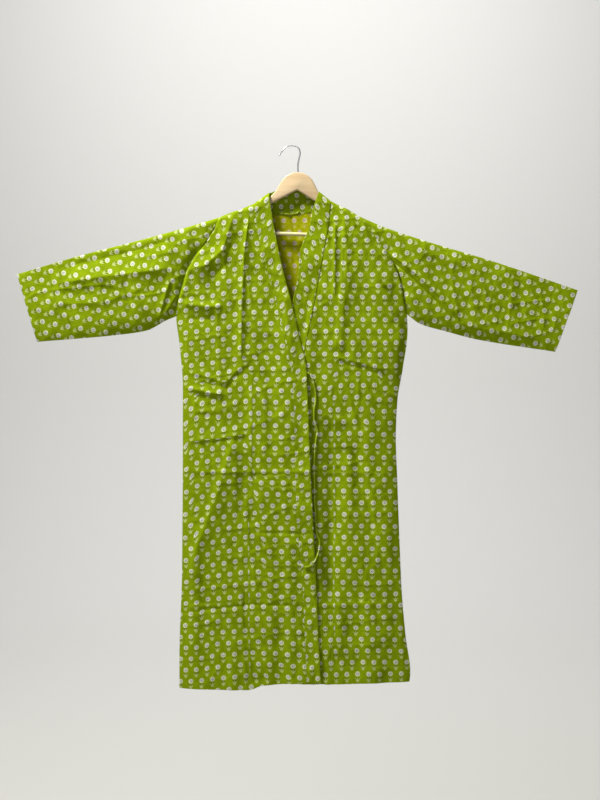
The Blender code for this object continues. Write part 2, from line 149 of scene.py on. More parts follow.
# Free edge and band seam of each front, top to hem: height, across
OUTER_EDGE = [
    (-116, -55), (-148, -51), (-229, -37.5), (-310, -20), (-410, 6), (-485, 22.5),
    (-548, 37.5), (-635, 42.5), (-835, 50), (-1135, 65), (-1340, 74.5),
]
OUTER_SEAM = [
    (-143, -92), (-219, -82), (-278, -68), (-386, -39), (-554, -1), (-610, 6),
    (-935, 15), (-1060, 27), (-1341, 40),
]
INNER_EDGE = [
    (-113, 70), (-168, 52.5), (-198, 47.5), (-260, 24), (-323, 18), (-398, 2.5),
    (-520, -12), (-640, -18), (-900, -10), (-1343, 0),
]
INNER_SEAM = [
    (-137, 100), (-198, 94), (-264, 82), (-323, 71), (-423, 52.5), (-518, 33.5),
    (-640, 22), (-900, 30), (-1344, 40),
]

# Hems, and the seam and top of the neckband: across, height
HEM_OUTER = [(-279.5, -1356), (-107, -1359.5), (-73, -1350), (-45, -1346), (40, -1341)]
HEM_INNER = [(40, -1344), (97.5, -1344.5), (197, -1342), (296.5, -1340)]
HEM_BACK = [(-279.5, -1354), (0, -1345), (296.5, -1338)]
NECK_SEAM = [(-92, -143), (-62, -163), (-36, -171), (0, -170), (44, -165), (70, -156), (100, -137)]
NECK_TOP = [(-55, -116), (-27, -106), (0, -104), (40, -106), (70, -113)]

# Ripple of the neckband: rise, scale of its waves, middle height, reach
NECK_RIPPLE = (0.9, 11.0, -130, 30)

# Folds. Columns: name, rise, half width on the left or below, half width on the
# right or above, line of across and height drawn rightwards or downwards
OUTER_FOLDS = [
    ("ridge beside the band", 5, 10, 8, [(-104, -168), (-116, -263), (-122, -385), (-125, -543)]),
    ("line along that ridge", 2, 4, 2, [(-104, -168), (-116, -263), (-122, -385), (-125, -543)]),
    ("diagonal from the shoulder", 9, 22, 20, [(-248, -310), (-213, -299), (-170, -260), (-140, -165)]),
    ("hollow under the diagonal", -4, 16, 12, [(-200, -330), (-165, -300), (-148, -240)]),
    ("armpit fold", 8, 17, 12, [(-272, -394), (-205, -403), (-170, -399)]),
    ("hollow under the armpit fold", -3, 14, 10, [(-262, -432), (-195, -432)]),
    ("waist crumple", 2.8, 3, 12,
     [(-266, -566), (-225, -574), (-190, -584), (-165, -596), (-140, -566), (-107, -543)]),
    ("shadow under the crumple", -1.5, 6, 3,
     [(-230, -590), (-190, -597), (-160, -604), (-132, -572), (-100, -550)]),
    ("second waist fold", 5.5, 5, 8, [(-268, -604), (-240, -609), (-205, -617), (-167, -622)]),
    ("shadow under the second fold", -2, 7, 4, [(-245, -622), (-180, -632)]),
    ("upright pucker", 5, 5, 5, [(-241, -636), (-240, -684)]),
    ("waist tuck", 3, 4, 12, [(-267, -740), (-190, -733), (-105, -720)]),
    ("long soft diagonal", 8, 12, 36,
     [(-142, -725), (-172, -830), (-205, -925), (-240, -1016), (-256, -1100)]),
    ("upright crease at the waist", 1.6, 6, 2, [(-98, -575), (-98, -720), (-100, -838)]),
    ("upright crease at the knee", 1.4, 5, 2, [(-108, -900), (-107, -1025)]),
    ("upright crease at the hem", 2.2, 6, 2, [(-112, -1070), (-109, -1180), (-103, -1290), (-100, -1350)]),
    ("fold beside the hem crease", -2.4, 5, 9, [(-96, -1200), (-90, -1352)]),
    ("upper packing crease", 2.2, 2.5, 7, [(-268, -815), (-120, -816), (50, -814)]),
    ("lifted outer edge", 3, 22, 9, [(40, -585), (50, -835), (64, -1135), (73, -1336)]),
    ("second packing crease", 1.1, 2, 5, [(-262, -843), (-100, -842), (50, -844)]),
    ("third packing crease", -2, 3.5, 3.5, [(-94, -966), (54, -968)]),
    ("fourth packing crease", 1.1, 2, 5, [(-94, -1050), (56, -1050)]),
    ("fifth packing crease", -2, 3.5, 3.5, [(-268, -1165), (-100, -1146), (62, -1147)]),
    ("small chest crease", 1.2, 3, 5, [(-232, -470), (-150, -478)]),
    ("small hip crease", 1.6, 4, 8, [(-258, -660), (-200, -668), (-150, -655)]),
    ("hem roll", 6, 36, 6, [(-124, -1105), (-119, -1200), (-112, -1350)]),
    ("soft side roll", 3.5, 16, 20, [(-246, -820), (-244, -1000), (-252, -1300)]),
]
INNER_FOLDS = [
    ("ridge beside the band", 4, 8, 10, [(110, -190), (107, -385)]),
    ("line along that ridge", 1.8, 2, 4, [(110, -190), (107, -385)]),
    ("ridge from the shoulder", 5, 12, 15, [(132, -165), (140, -290), (120, -528)]),
    ("line along the second ridge", 2, 2, 5, [(131, -190), (125, -360), (115, -460), (108, -528)]),
    ("shoulder pleat", 4, 5, 10, [(133, -156), (148, -176), (162, -205)]),
    ("side fold", 7, 26, 10, [(256, -393), (270, -443), (272, -485), (264, -585)]),
    ("armpit pull", -6, 8, 4, [(230, -346), (260, -384), (288, -420)]),
    ("ridge beside the armpit pull", 4, 12, 9, [(214, -356), (244, -400), (262, -440)]),
    ("waist crease", 3.5, 4, 12, [(106, -529), (135, -534), (180, -545), (237, -561)]),
    ("shadow under the waist crease", -1.5, 7, 4, [(112, -542), (180, -557), (228, -570)]),
    ("soft ridge at the hip", 3.5, 8, 10, [(130, -545), (150, -640), (170, -732)]),
    ("long diagonal hollow", -9, 32, 18,
     [(138, -715), (183, -835), (192, -900), (215, -1000), (240, -1080), (275, -1165)]),
    ("hollow beside the outer edge", -8, 36, 30, [(98, -640), (104, -900), (107, -1160)]),
    ("lower roll", 4, 30, 26, [(200, -1120), (215, -1240), (222, -1338)]),
    ("upright crease at the hip", 1.5, 5, 2, [(101, -596), (101, -688)]),
    ("upright crease at the knee", 1.8, 5, 2, [(105, -808), (109, -890), (109, -1150)]),
    ("upright crease at the hem", 1.5, 5, 2, [(107, -1200), (98, -1248), (90, -1290)]),
    ("upper packing crease", 1.3, 2.5, 6, [(66, -820), (262, -819)]),
    ("second packing crease", 1.2, 2, 5, [(66, -1150), (270, -1149)]),
    ("third packing crease", 1.1, 2, 5, [(68, -1248), (283, -1247)]),
    ("side pucker", 3.5, 5, 7, [(240, -616), (268, -632)]),
    ("second side pucker", 2.5, 4, 6, [(236, -640), (264, -655)]),
    ("hollow behind the outer edge", -4, 16, 8, [(52, -350), (38, -440), (24, -520)]),
]
BACK_FOLDS = [
    ("left ripple", 5, 34, 34, [(-150, -260), (-175, -700), (-150, -1340)]),
    ("middle ripple", 4, 30, 30, [(10, -420), (30, -860), (5, -1340)]),
    ("right ripple", 5, 36, 36, [(160, -250), (180, -760), (165, -1340)]),
    ("waist crumple", 5, 20, 24, [(-240, -600), (-60, -585), (190, -612)]),
    ("line on the waist crumple", 2.5, 3, 9, [(-225, -592), (-70, -577), (120, -596)]),
    ("left armpit pull", 4, 9, 8, [(-262, -400), (-205, -430), (-140, -440)]),
    ("right armpit pull", 4, 8, 9, [(130, -446), (205, -428), (258, -392)]),
    ("centre crease", 1.5, 3, 3, [(8, -200), (10, -700), (8, -1335)]),
    ("upper packing crease", 1.3, 2.5, 6, [(-262, -818), (262, -818)]),
    ("lower packing crease", 1.3, 2.5, 6, [(-266, -1150), (270, -1150)]),
    ("left long diagonal", 4, 15, 18, [(-120, -660), (-190, -900), (-235, -1160)]),
    ("right long diagonal", 3.5, 15, 18, [(110, -700), (150, -960), (205, -1200)]),
]
NECK_FOLDS = [
    ("pinch under the wood", 2.4, 3, 5, [(2, -112), (-8, -130), (-12, -156)]),
    ("second pinch", 1.6, 3, 4, [(26, -118), (34, -150)]),
]
SLEEVE_FOLDS = [
    ("left long fold", 9, 26, 26, [(-580, -342), (-430, -322), (-292, -306)]),
    ("left lower fold", 3, 12, 18, [(-600, -395), (-470, -392), (-360, -352)]),
    ("left armpit fold", 6, 10, 4, [(-301, -334), (-316, -385), (-332, -436)]),
    ("left armpit hollow", -6, 8, 8, [(-276, -372), (-290, -402), (-312, -432)]),
    ("second left armpit fold", 6, 7, 4, [(-286, -374), (-304, -402), (-330, -434)]),
    ("left cross crease", 3, 5, 2.5, [(-585, -340), (-571, -384), (-558, -434), (-550, -474)]),
    ("short left crease", 1.4, 4, 3, [(-544, -336), (-544, -362)]),
    ("left upper hollow", -4, 14, 12, [(-560, -300), (-400, -264), (-290, -232)]),
    ("right long fold", 4, 42, 22, [(237, -263), (312, -323), (368, -375), (420, -433)]),
    ("line along the long fold", 5, 2.5, 8, [(238, -262), (312, -322), (368, -374), (420, -433)]),
    ("line under the long fold", -3.5, 4, 3, [(232, -269), (304, -331), (360, -384), (408, -437)]),
    ("right second fold", 5, 13, 12, [(290, -370), (325, -440)]),
    ("right armpit ridge", 8, 3, 9, [(248, -350), (290, -398), (326, -443)]),
    ("right armpit hollow", -11, 6, 5, [(258, -366), (276, -402), (292, -426)]),
    ("right upper fold", 2.5, 16, 18, [(300, -256), (430, -294), (560, -338)]),
    ("right lower fold", 4, 24, 12, [(408, -438), (470, -456), (560, -470), (620, -480)]),
    ("right cross crease", 1.5, 4, 3, [(556, -330), (548, -400), (540, -470)]),
]

# Cloth hidden in tucks shifts the print past them. Columns: name, shift across,
# shift up, reach of the shift, line drawn rightwards or downwards
OUTER_TUCKS = [
    ("waist tuck", 0, 13, 420, [(-268, -740), (-190, -733), (-105, -720)]),
    ("waist crumple", 0, 11, 90, [(-240, -589), (-195, -594), (-155, -586), (-105, -553)]),
    ("second waist fold", 0, 8, 100, [(-262, -622), (-180, -626)]),
    ("upright crease at the chest", 8, 0, 90, [(-119, -300), (-122, -385), (-122, -543)]),
    ("upright crease at the waist", 9, 0, 120, [(-96, -578), (-96, -838)]),
    ("upright crease at the hem", 10, 0, 120, [(-107, -900), (-106, -1180), (-100, -1345)]),
]
INNER_TUCKS = [
    ("upright crease at the chest", 9, 0, 100, [(112, -200), (109, -380)]),
    ("waist crease", 0, 9, 160, [(108, -534), (180, -549), (235, -565)]),
    ("upright crease at the knee", 8, 0, 120, [(105, -600), (109, -890), (107, -1290)]),
]

# The print's repeat on the flat cloth, wider on the sleeves, and its waver in metres
PRINT_COLUMN = 27.3
PRINT_ROW = 28.5
SLEEVE_COLUMN = 28.6
PRINT_WAVE = 0.010

# Where the print starts on each piece: across, up
PRINT_START = {
    "back": (9, 6),
    "front_outer": (4, 9),
    "front_inner": (-3, 2),
    "band_outer": (6, 11),
    "band_inner": (15, 3),
    "band_neck": (12, 1),
    "sleeve": (5, 4),
}

# Slope of the print's rows beside the outer front's long crease: height, rise per run
PRINT_SLOPE_START = -98
PRINT_SLOPE = [
    (-1360, 0.06), (-1150, 0.11), (-950, 0.15), (-800, 0.15), (-600, 0.14), (-300, 0.18), (-150, 0.05),
]

# Flower head, round with notched petals, and the pitch of the curl inside it
HEAD_HEIGHT = 8.0
HEAD_RADIUS = 5.7
PETALS = 9
PETAL_DEPTH = 0.55
NOTCH_RADIUS = 4.2
CURL_PITCH = 3.4

# Sprig under each flower head: foot below the head, lean in degrees, length, half width
SPRIG_LEAVES = [(-20.2, 27, 8.8, 1.6), (-16.0, 46, 9.0, 1.2), (-19.2, 0, 12.5, 1.0)]

# Darker ground behind the sprig: depth below the head, half width, half height
SPRIG_SHADE = (11.0, 6.5, 4.5)

# How far a fold's crest is creased instead of rounded, from 0 to 1
CREST = 0.5

# Height and repeat of the weave in metres, and the finest crinkles in steps of that height
WEAVE_HEIGHT = 0.00012
WEAVE_REPEAT = 0.0007
CRINKLE = 21.0

# Height of the waist, below which the cloth hangs in softer upright waves
WAIST_HEIGHT = -560

# Hems: depth, height of the double cloth, and the run over which it steps up
HEM_DEPTH = 13.0
CUFF_HEM = 28.0
HEM_STEP = 0.5
HEM_RUN = 1.5
CUFF_STEP = 0.4
CUFF_RUN = 2.0

# Topstitching, and how far the cloth stands out where it is sewn
STITCH_LENGTH = 2.6
STITCH_STEP = 3.6
THREAD_RADIUS = 0.22
STITCH_INSET = 2.2
BAND_SWELL = 0.75
HEM_SWELL = 0.45
CUFF_SWELL = 0.35

# Stitched lines of the outer band, and of the inner band where it shows: top, low, points
OUTER_STITCHED = (-150, -1335, 900)
INNER_EDGE_STITCHED = (-142, -395, 260)
INNER_SEAM_STITCHED = (-142, -500, 260)

# Stitching of hems and cuffs: how far inside the double cloth, how far short of its ends,
# the way inward from a cuff, and the points along each
HEM_STITCH = 1.5
HEM_SHORT = 3
LAP_SHORT = 2.5
CUFF_INWARD = (0.95, 0.3)
CUFF_PART = (0.03, 0.97)
HEM_POINTS = 300
CUFF_POINTS = 80

# Tie: across, height, from the outer front's edge to its curled end
TIE_RADIUS = 2.4
TIE_POINTS = 160
TIE_CROSSING = -1015
TIE_LIFT = 0.8
TIE_EASE = 3
TIE_SINK = 0.6
TIE_LINE = [
    (40.2, -568), (44, -568.2), (48, -571), (52, -578), (57, -594), (61, -614), (62, -635),
    (57.5, -665), (58.5, -685), (66, -715), (62, -738), (57.5, -810), (58.5, -830), (59, -888),
    (61, -915), (64, -967), (72, -992), (71, -1003), (66, -1021), (58, -1038), (47.5, -1048),
    (34, -1051.5),
]

# Half the solids' wall and the gap to it keep tie and loop where their solids are
CAD_WALL = 1.5
CAD_GAP = 0.3

# Hanging loop and hook wire: across, height, with the wire's width and the tip's radius
LOOP_LINE = [(-29, -164), (-21, -166.5), (-8, -168), (5, -167.5), (14, -165.5), (21, -161)]
LOOP_RADIUS = 1.4
HOOK_WIRE = 3.5
HOOK_TIP = 2.3
HOOK_LINE = [
    (18.7, -64.6), (17.2, -56), (17.5, -44), (20.2, -30), (22.8, -16), (20.5, -6), (12, 0.2),
    (0, 1.75), (-11, -0.8), (-19, -7), (-24, -14), (-29, -21),
]

# Smoothing of the hanger's facets, the bar's eased ends, and how much shorter it is
# than its solid
SMOOTH_ANGLE = math.radians(50)
BAR_EASE = 0.8
BAR_SHORT = 0.4

# Corners this close are joined
WELD = 0.01

# Camera and stage, in metres
FRAME_HEIGHT = 2.0
FRAME_MIDDLE = (0.0225, -0.635)
CAMERA_DISTANCE = 3.2
CLOTH_PLANE = -0.008
SENSOR = 36.0
FLOOR_HEIGHT = -2.2
STAGE_WIDTH = 22

# Lights, in metres and watts: name, place, aim, size, power, tint
LIGHTS = [
    ("key", (-1.3, -0.9, 2.15), (0, 0, -0.6), 0.7, 188, (1.0, 0.99, 0.96)),
    ("fill", (-0.6, -3.4, 0.2), (0, 0, -0.8), 1.6, 13, (0.98, 0.99, 1.0)),
    ("backdrop", (0, 3.2, 3.8), (0, 6.6, -0.4), 4.0, 222, (1.0, 1.0, 0.99)),
]


def smooth(rows):
    """Return a function through rows of place and value that never overshoots."""
    place, value = np.array(sorted(rows), dtype=float).T
    step = np.diff(place)
    slope = np.diff(value) / step
    tangent = np.zeros_like(place)
    tangent[0] = slope[0]
    tangent[-1] = slope[-1]
    before, after = slope[:-1], slope[1:]
    same_way = before * after > 0
    inner = np.zeros_like(before)
    inner[same_way] = 2 / (1 / before[same_way] + 1 / after[same_way])
    tangent[1:-1] = inner

    def value_at(wanted):
        wanted = np.clip(wanted, place[0], place[-1])
        cell = np.clip(np.searchsorted(place, wanted) - 1, 0, len(step) - 1)
        t = (wanted - place[cell]) / step[cell]
        rise = (3 - 2 * t) * t * t
        start_pull = t * (1 - t) ** 2 * step[cell] * tangent[cell]
        end_pull = -t * t * (1 - t) * step[cell] * tangent[cell + 1]
        return value[cell] * (1 - rise) + value[cell + 1] * rise + start_pull + end_pull

    return value_at


LEFT_AT = smooth(LEFT_EDGE)
RIGHT_AT = smooth(RIGHT_EDGE)
OUTER_EDGE_AT = smooth(OUTER_EDGE)
OUTER_SEAM_AT = smooth(OUTER_SEAM)
INNER_EDGE_AT = smooth(INNER_EDGE)
INNER_SEAM_AT = smooth(INNER_SEAM)
PRINT_SLOPE_AT = smooth(PRINT_SLOPE)
BACK_TOP_AT = smooth(SHOULDER_LEFT + NECK_SEAM[1:-1] + SHOULDER_RIGHT)

SIDE_LEFT = [(x, z) for z, x in LEFT_EDGE if z <= ARMPIT_LEFT[1]]
SIDE_RIGHT = [(x, z) for z, x in RIGHT_EDGE if z <= ARMPIT_RIGHT[1]]
ARMHOLE_LEFT = [(x, z) for z, x in LEFT_EDGE if z >= ARMPIT_LEFT[1]]
ARMHOLE_RIGHT = [(x, z) for z, x in RIGHT_EDGE if z >= ARMPIT_RIGHT[1]]
TOP_FOLDS = [
    SLEEVE_TOP_LEFT[::-1] + SHOULDER_LEFT[1:] + [NECK_LEFT],
    SLEEVE_TOP_RIGHT[::-1] + SHOULDER_RIGHT[1:] + [NECK_RIGHT],
]
LOW_FOLDS = [
    SLEEVE_LOW_LEFT[::-1] + SIDE_LEFT[::-1][1:],
    SLEEVE_LOW_RIGHT[::-1] + SIDE_RIGHT[::-1][1:],
]


def ramp(value):
    """Return a soft step from 0 to 1."""
    value = np.clip(value, 0, 1)
    return value * value * (3 - 2 * value)


def along_line(x, z, line):
    """Return how far points are from a line, on which side, and how far along it."""
    corners = np.array(line, dtype=float)
    lengths = np.linalg.norm(np.diff(corners, axis=0), axis=1)
    travel = np.concatenate([[0], np.cumsum(lengths)]) / lengths.sum()
    nearest = np.full(np.shape(x), np.inf)
    side = np.ones(np.shape(x))
    place = np.zeros(np.shape(x))
    for index, (start, end) in enumerate(zip(corners, corners[1:])):
        run = end - start
        part = ((x - start[0]) * run[0] + (z - start[1]) * run[1]) / (run @ run)
        part = np.clip(part, 0, 1)
        gap = np.hypot(x - start[0] - part * run[0], z - start[1] - part * run[1])
        cross = run[0] * (z - start[1]) - run[1] * (x - start[0])
        closer = gap < nearest
        nearest = np.where(closer, gap, nearest)
        side = np.where(closer, np.sign(cross), side)
        reached = travel[index] + part * (travel[index + 1] - travel[index])
        place = np.where(closer, reached, place)
    return nearest, side, place


def fold_relief(x, z, table):
    """Return the summed rise of the folds in a table, fading at their ends."""
    total = np.zeros(np.shape(x))
    for _, rise, low_width, high_width, line in table:
        reach = 3 * max(low_width, high_width)
        line_x, line_z = np.array(line).T
        near = (x > line_x.min() - reach) & (x < line_x.max() + reach)
        near &= (z > line_z.min() - reach) & (z < line_z.max() + reach)
        gap, side, place = along_line(x[near], z[near], line)
        width = np.where(side > 0, high_width, low_width)
        fade = ramp(place / 0.12) * ramp((1 - place) / 0.12) * 0.75 + 0.25
        soft = np.exp(-(gap / width) ** 2)
        crisp = np.exp(-gap / (0.5 * width))
        total[near] += rise * fade * ((1 - CREST) * soft + CREST * crisp)
    return total


def soft_noise(x, z, wide, high, seed):
    """Return smooth noise from -1 to 1, with bumps of a width and height."""
    cells = np.random.default_rng(seed).uniform(-1, 1, (128, 128))
    u, v = x / wide + 64, z / high + 64
    column, row = np.floor(u).astype(int), np.floor(v).astype(int)
    part_u, part_v = ramp(u - column), ramp(v - row)
    column, row = column % 127, row % 127
    below = cells[row, column] * (1 - part_u) + cells[row, column + 1] * part_u
    above = cells[row + 1, column] * (1 - part_u) + cells[row + 1, column + 1] * part_u
    return below * (1 - part_v) + above * part_v


def crumple(x, z, seed):
    """Return the slight unevenness that pressed and packed cotton keeps."""
    turned_x, turned_z = x * 0.86 + z * 0.5, z * 0.86 - x * 0.5
    hanging = ramp((WAIST_HEIGHT - z) / 260)
    creases = (1 - np.abs(soft_noise(x + 0.15 * z, z, 46, 190, seed + 3))) ** 6
    creases += 0.6 * (1 - np.abs(soft_noise(x, z - 0.12 * x, 120, 44, seed + 4))) ** 8
    return (
        2.4 * creases
        + (2.2 + 1.8 * hanging) * soft_noise(x, z, 24, 170, seed)
        + 4.0 * hanging * soft_noise(x, z, 58, 300, seed + 5)
        + 1.8 * soft_noise(turned_x, turned_z, 18, 40, seed + 1)
        + 0.6 * soft_noise(x, z, 8, 12, seed + 2)
    )


def fullness(x, z):
    """Return 0 at the folded edges of the garment, rising to 1 inside it."""
    top = np.minimum(*[along_line(x, z, line)[0] for line in TOP_FOLDS])
    low = np.minimum(*[along_line(x, z, line)[0] for line in LOW_FOLDS])
    wide = SLEEVE_ROUND * ramp((np.abs(x) - HANGER_REACH) / HANGER_RAMP)
    turned = 1 - (1 - wide) * np.exp(-top / TOP_TURN) - wide * np.exp(-top / SLEEVE_TURN)
    return turned * (1 - np.exp(-low / SIDE_TURN))


def depth_limit(x, body_depth):
    """Return the depth of the hollow, shallower towards the cuffs."""
    along = (np.abs(x) - ARMPIT_REACH) / (CUFF_REACH - ARMPIT_REACH)
    return body_depth + (CUFF_DEPTH - body_depth) * ramp(along)


def sleeve_lean(x, z):
    """Return the sleeves' slope, with the lower edge nearer the viewer than the top."""
    out = np.abs(x) - ARMPIT_REACH
    return SLEEVE_LEAN * (z - SLEEVE_MIDDLE + SLEEVE_DROP * out) * ramp(out / LEAN_RAMP)


def front_y(x, z, table, seed):
    """Return the front cloth's place, towards -Y."""
    rise = fold_relief(x, z, table) + crumple(x, z, seed) - sleeve_lean(x, z)
    return -(HALF_SEAM + fullness(x, z) * (depth_limit(x, FRONT_DEPTH) + rise))


def back_y(x, z, table=BACK_FOLDS, seed=40):
    """Return the back cloth's place, towards +Y."""
    rise = fold_relief(x, z, table) + crumple(x, z, seed) + sleeve_lean(x, z)
    return HALF_SEAM + fullness(x, z) * (depth_limit(x, BACK_DEPTH) + rise)


def inner_y(x, z):
    """Return the inner front's place."""
    return front_y(x, z, INNER_FOLDS, 20)


def outer_y(x, z):
    """Return the outer front's place, always clear of the inner front under it."""
    lap = ramp((x - INNER_EDGE_AT(z) + OVERLAP_RAMP) / OVERLAP_RAMP)
    free = front_y(x, z, OUTER_FOLDS, 10) - OVERLAP_LIFT * lap * fullness(x, z)
    covers = x > INNER_EDGE_AT(z) - BAND_THICK
    return np.where(covers, np.minimum(free, inner_y(x, z) - LAYER_GAP - BAND_THICK), free)


def blend_edges(left, right, bottom, top, across, up):
    """Return the x and z of a patch stretched between its four edges."""
    u, v = np.meshgrid(across, up)
    left_x, left_z = left(v)
    right_x, right_z = right(v)
    low_x, low_z = bottom(u)
    high_x, high_z = top(u)
    corners = [(left, 0), (right, 0), (left, 1), (right, 1)]
    weights = [(1 - u) * (1 - v), u * (1 - v), (1 - u) * v, u * v]
    x = (1 - u) * left_x + u * right_x + (1 - v) * low_x + v * high_x
    z = (1 - u) * left_z + u * right_z + (1 - v) * low_z + v * high_z
    for (edge, place), weight in zip(corners, weights):
        corner_x, corner_z = edge(place)
        x = x - weight * corner_x
        z = z - weight * corner_z
    return x, z


def upright(across_at, low, high, shift=0.0):
    """Return an edge that runs from one height to another."""
    def edge(part):
        z = low + (high - low) * np.asarray(part, dtype=float)
        return across_at(z) + shift, z
    return edge


def level(height_at, left, right):
    """Return an edge that runs from one side to the other."""
    def edge(part):
        x = left + (right - left) * np.asarray(part, dtype=float)
        return x, height_at(x)
    return edge


def close_rows(length, step, first=(), last=()):
    """Return places from 0 to 1 along an edge, closer at its ends."""
    start = np.array([0.0, *first]) / length
    end = 1 - np.array([0.0, *last])[::-1] / length
    count = max(2, round((end[0] - start[-1]) * length / step))
    middle = np.linspace(start[-1], end[0], count + 1)[1:-1]
    return np.concatenate([start, middle, end])


def body_rows(step):
    """Return the rows of a body panel from the hem to the shoulder."""
    below = close_rows(SIDE_LENGTH, step, EDGE_ROWS)
    above = close_rows(ARMHOLE_LENGTH, step, (), TURN_ROWS)
    return np.concatenate([below[:-1] * ARMPIT_PART, ARMPIT_PART + (1 - ARMPIT_PART) * above])


def past_tucks(x, z, table):
    """Return how far the print is shifted past the tucks in a table."""
    shift_u, shift_v = np.zeros(np.shape(x)), np.zeros(np.shape(x))
    for _, across, up, reach, line in table:
        gap, side, place = along_line(x, z, line)
        fade = ramp(place / 0.1) * ramp((1 - place) / 0.1) * np.exp(-(gap / reach) ** 2)
        past = np.where(side > 0, 0.0, 1.0) if up else np.where(side > 0, 1.0, 0.0)
        shift_u += across * past * fade
        shift_v -= up * past * fade
    return shift_u, shift_v


def clear_selection():
    """Leave nothing selected, so that an operator acts on new work alone."""
    bpy.ops.object.select_all(action="DESELECT")


def weld_corners():
    """Join the corners of the active mesh that lie on one another."""
    bpy.ops.object.mode_set(mode="EDIT")
    bpy.ops.mesh.select_all(action="SELECT")
    bpy.ops.mesh.remove_doubles(threshold=WELD * MM)
    bpy.ops.object.mode_set(mode="OBJECT")


def cloth_piece(name, places, print_places, materials, thick=CLOTH_THICK, closed=False):
    """Add a thin cloth shell from a grid of places and of places on the flat print."""
    rows, columns = places.shape[0] - 1, places.shape[1] - 1
    clear_selection()
    bpy.ops.mesh.primitive_grid_add(x_subdivisions=columns, y_subdivisions=rows, size=1)
    piece = bpy.context.object
    piece.name = name
    mesh = piece.data
    start = np.empty(len(mesh.vertices) * 3)
    mesh.vertices.foreach_get("co", start)
    start = start.reshape(-1, 3)
    column = np.rint((start[:, 0] + 0.5) * columns).astype(int)
    row = np.rint((start[:, 1] + 0.5) * rows).astype(int)
    mesh.vertices.foreach_set("co", (places[row, column] * MM).ravel())
    corner = np.empty(len(mesh.loops), dtype=np.int32)
    mesh.loops.foreach_get("vertex_index", corner)
    flat = print_places[row, column][corner] * MM
    mesh.uv_layers[0].data.foreach_set("uv", flat.ravel())
    mesh.update()
    for material in materials:
        mesh.materials.append(material)
    if closed:
        weld_corners()
    bpy.ops.object.shade_smooth()
    wall = piece.modifiers.new("cloth", "SOLIDIFY")
    wall.thickness = thick * MM
    wall.offset = 0
    wall.material_offset = len(materials) - 1
    bpy.ops.object.modifier_apply(modifier=wall.name)
    return piece


def declare_cloth(piece, node):
    """Hang a cloth piece on the robe's body and hide the solid it stands for."""
    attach(piece, BODY)
    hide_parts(node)


def hem_lift(z, hem_z):
    """Return the small step where the hem is turned up double."""
    return HEM_STEP * ramp((HEM_DEPTH - (z - hem_z)) / HEM_RUN)


def seam_groove(gap, deep, wide):
    """Return the dip of cloth beside a seam."""
    return -deep * np.exp(-(gap / wide) ** 2)


def armhole_depth(z):
    """Return the depth of the armhole's valley, shallow where the hanger lies below."""
    return ARMHOLE_HIGH + (ARMHOLE_DEEP - ARMHOLE_HIGH) * ramp((HANGER_END - z) / HANGER_END_RAMP)


def armhole_roll(x, z):
    """Return how a body panel's edge rolls down into its armhole seam."""
    gap = np.minimum(along_line(x, z, ARMHOLE_LEFT)[0], along_line(x, z, ARMHOLE_RIGHT)[0])
    return seam_groove(gap, armhole_depth(z), BODY_ROLL)


def make_back(materials):
    """Make the back panel, its wrong side facing the front."""
    left, right = SHOULDER_LEFT[0][0], SHOULDER_RIGHT[0][0]
    hem = smooth(HEM_BACK)
    edges = [
        upright(LEFT_AT, HEM_BACK[0][1], SHOULDER_LEFT[0][1]),
        upright(RIGHT_AT, HEM_BACK[-1][1], SHOULDER_RIGHT[0][1]),
        level(hem, HEM_BACK[0][0], HEM_BACK[-1][0]),
        level(BACK_TOP_AT, left, right),
    ]
    across = close_rows(BACK_WIDTH, BACK_STEP, EDGE_ROWS, EDGE_ROWS)
    x, z = blend_edges(*edges, across, body_rows(BACK_STEP))
    y = back_y(x, z) + armhole_roll(x, z) * fullness(x, z) + hem_lift(z, hem(x))
    start_u, start_v = PRINT_START["back"]
    places = np.dstack([x, y, z])[:, ::-1]
    flat = np.dstack([-x + start_u, z + start_v])[:, ::-1]
    declare_cloth(cloth_piece("cloth_back", places, flat, materials), "back")


def make_front(node, edges, width, seam_at, hem, depth_at, tucks, materials):
    """Make one front, from its side to its band seam."""
    x, z = blend_edges(*edges, close_rows(width, BODY_STEP, EDGE_ROWS, EDGE_ROWS), body_rows(BODY_STEP))
    groove = seam_groove(x - seam_at(z), SEAM_DEEP, SEAM_WIDE) + armhole_roll(x, z)
    y = depth_at(x, z) - groove * fullness(x, z) - hem_lift(z, hem(x))
    shift_u, shift_v = past_tucks(x, z, tucks)
    shift_v -= PRINT_SLOPE_AT(z) * np.minimum(x - PRINT_SLOPE_START, 0)
    start_u, start_v = PRINT_START[node]
    flat = np.dstack([x + shift_u + start_u, z + shift_v + start_v])
    declare_cloth(cloth_piece("cloth_" + node, np.dstack([x, y, z]), flat, materials), node)


def make_front_outer(materials):
    """Make the front that laps on top, on the left."""
    seam_low, seam_high = HEM_OUTER[-1][1], SHOULDER_LEFT[-1][1]
    hem = smooth(HEM_OUTER)
    edges = [
        upright(LEFT_AT, HEM_OUTER[0][1], SHOULDER_LEFT[0][1]),
        upright(OUTER_SEAM_AT, seam_low, seam_high),
        level(hem, HEM_OUTER[0][0], OUTER_SEAM_AT(seam_low)),
        level(smooth(SHOULDER_LEFT), SHOULDER_LEFT[0][0], SHOULDER_LEFT[-1][0]),
    ]
    make_front("front_outer", edges, OUTER_WIDTH, OUTER_SEAM_AT, hem, outer_y, OUTER_TUCKS, materials)


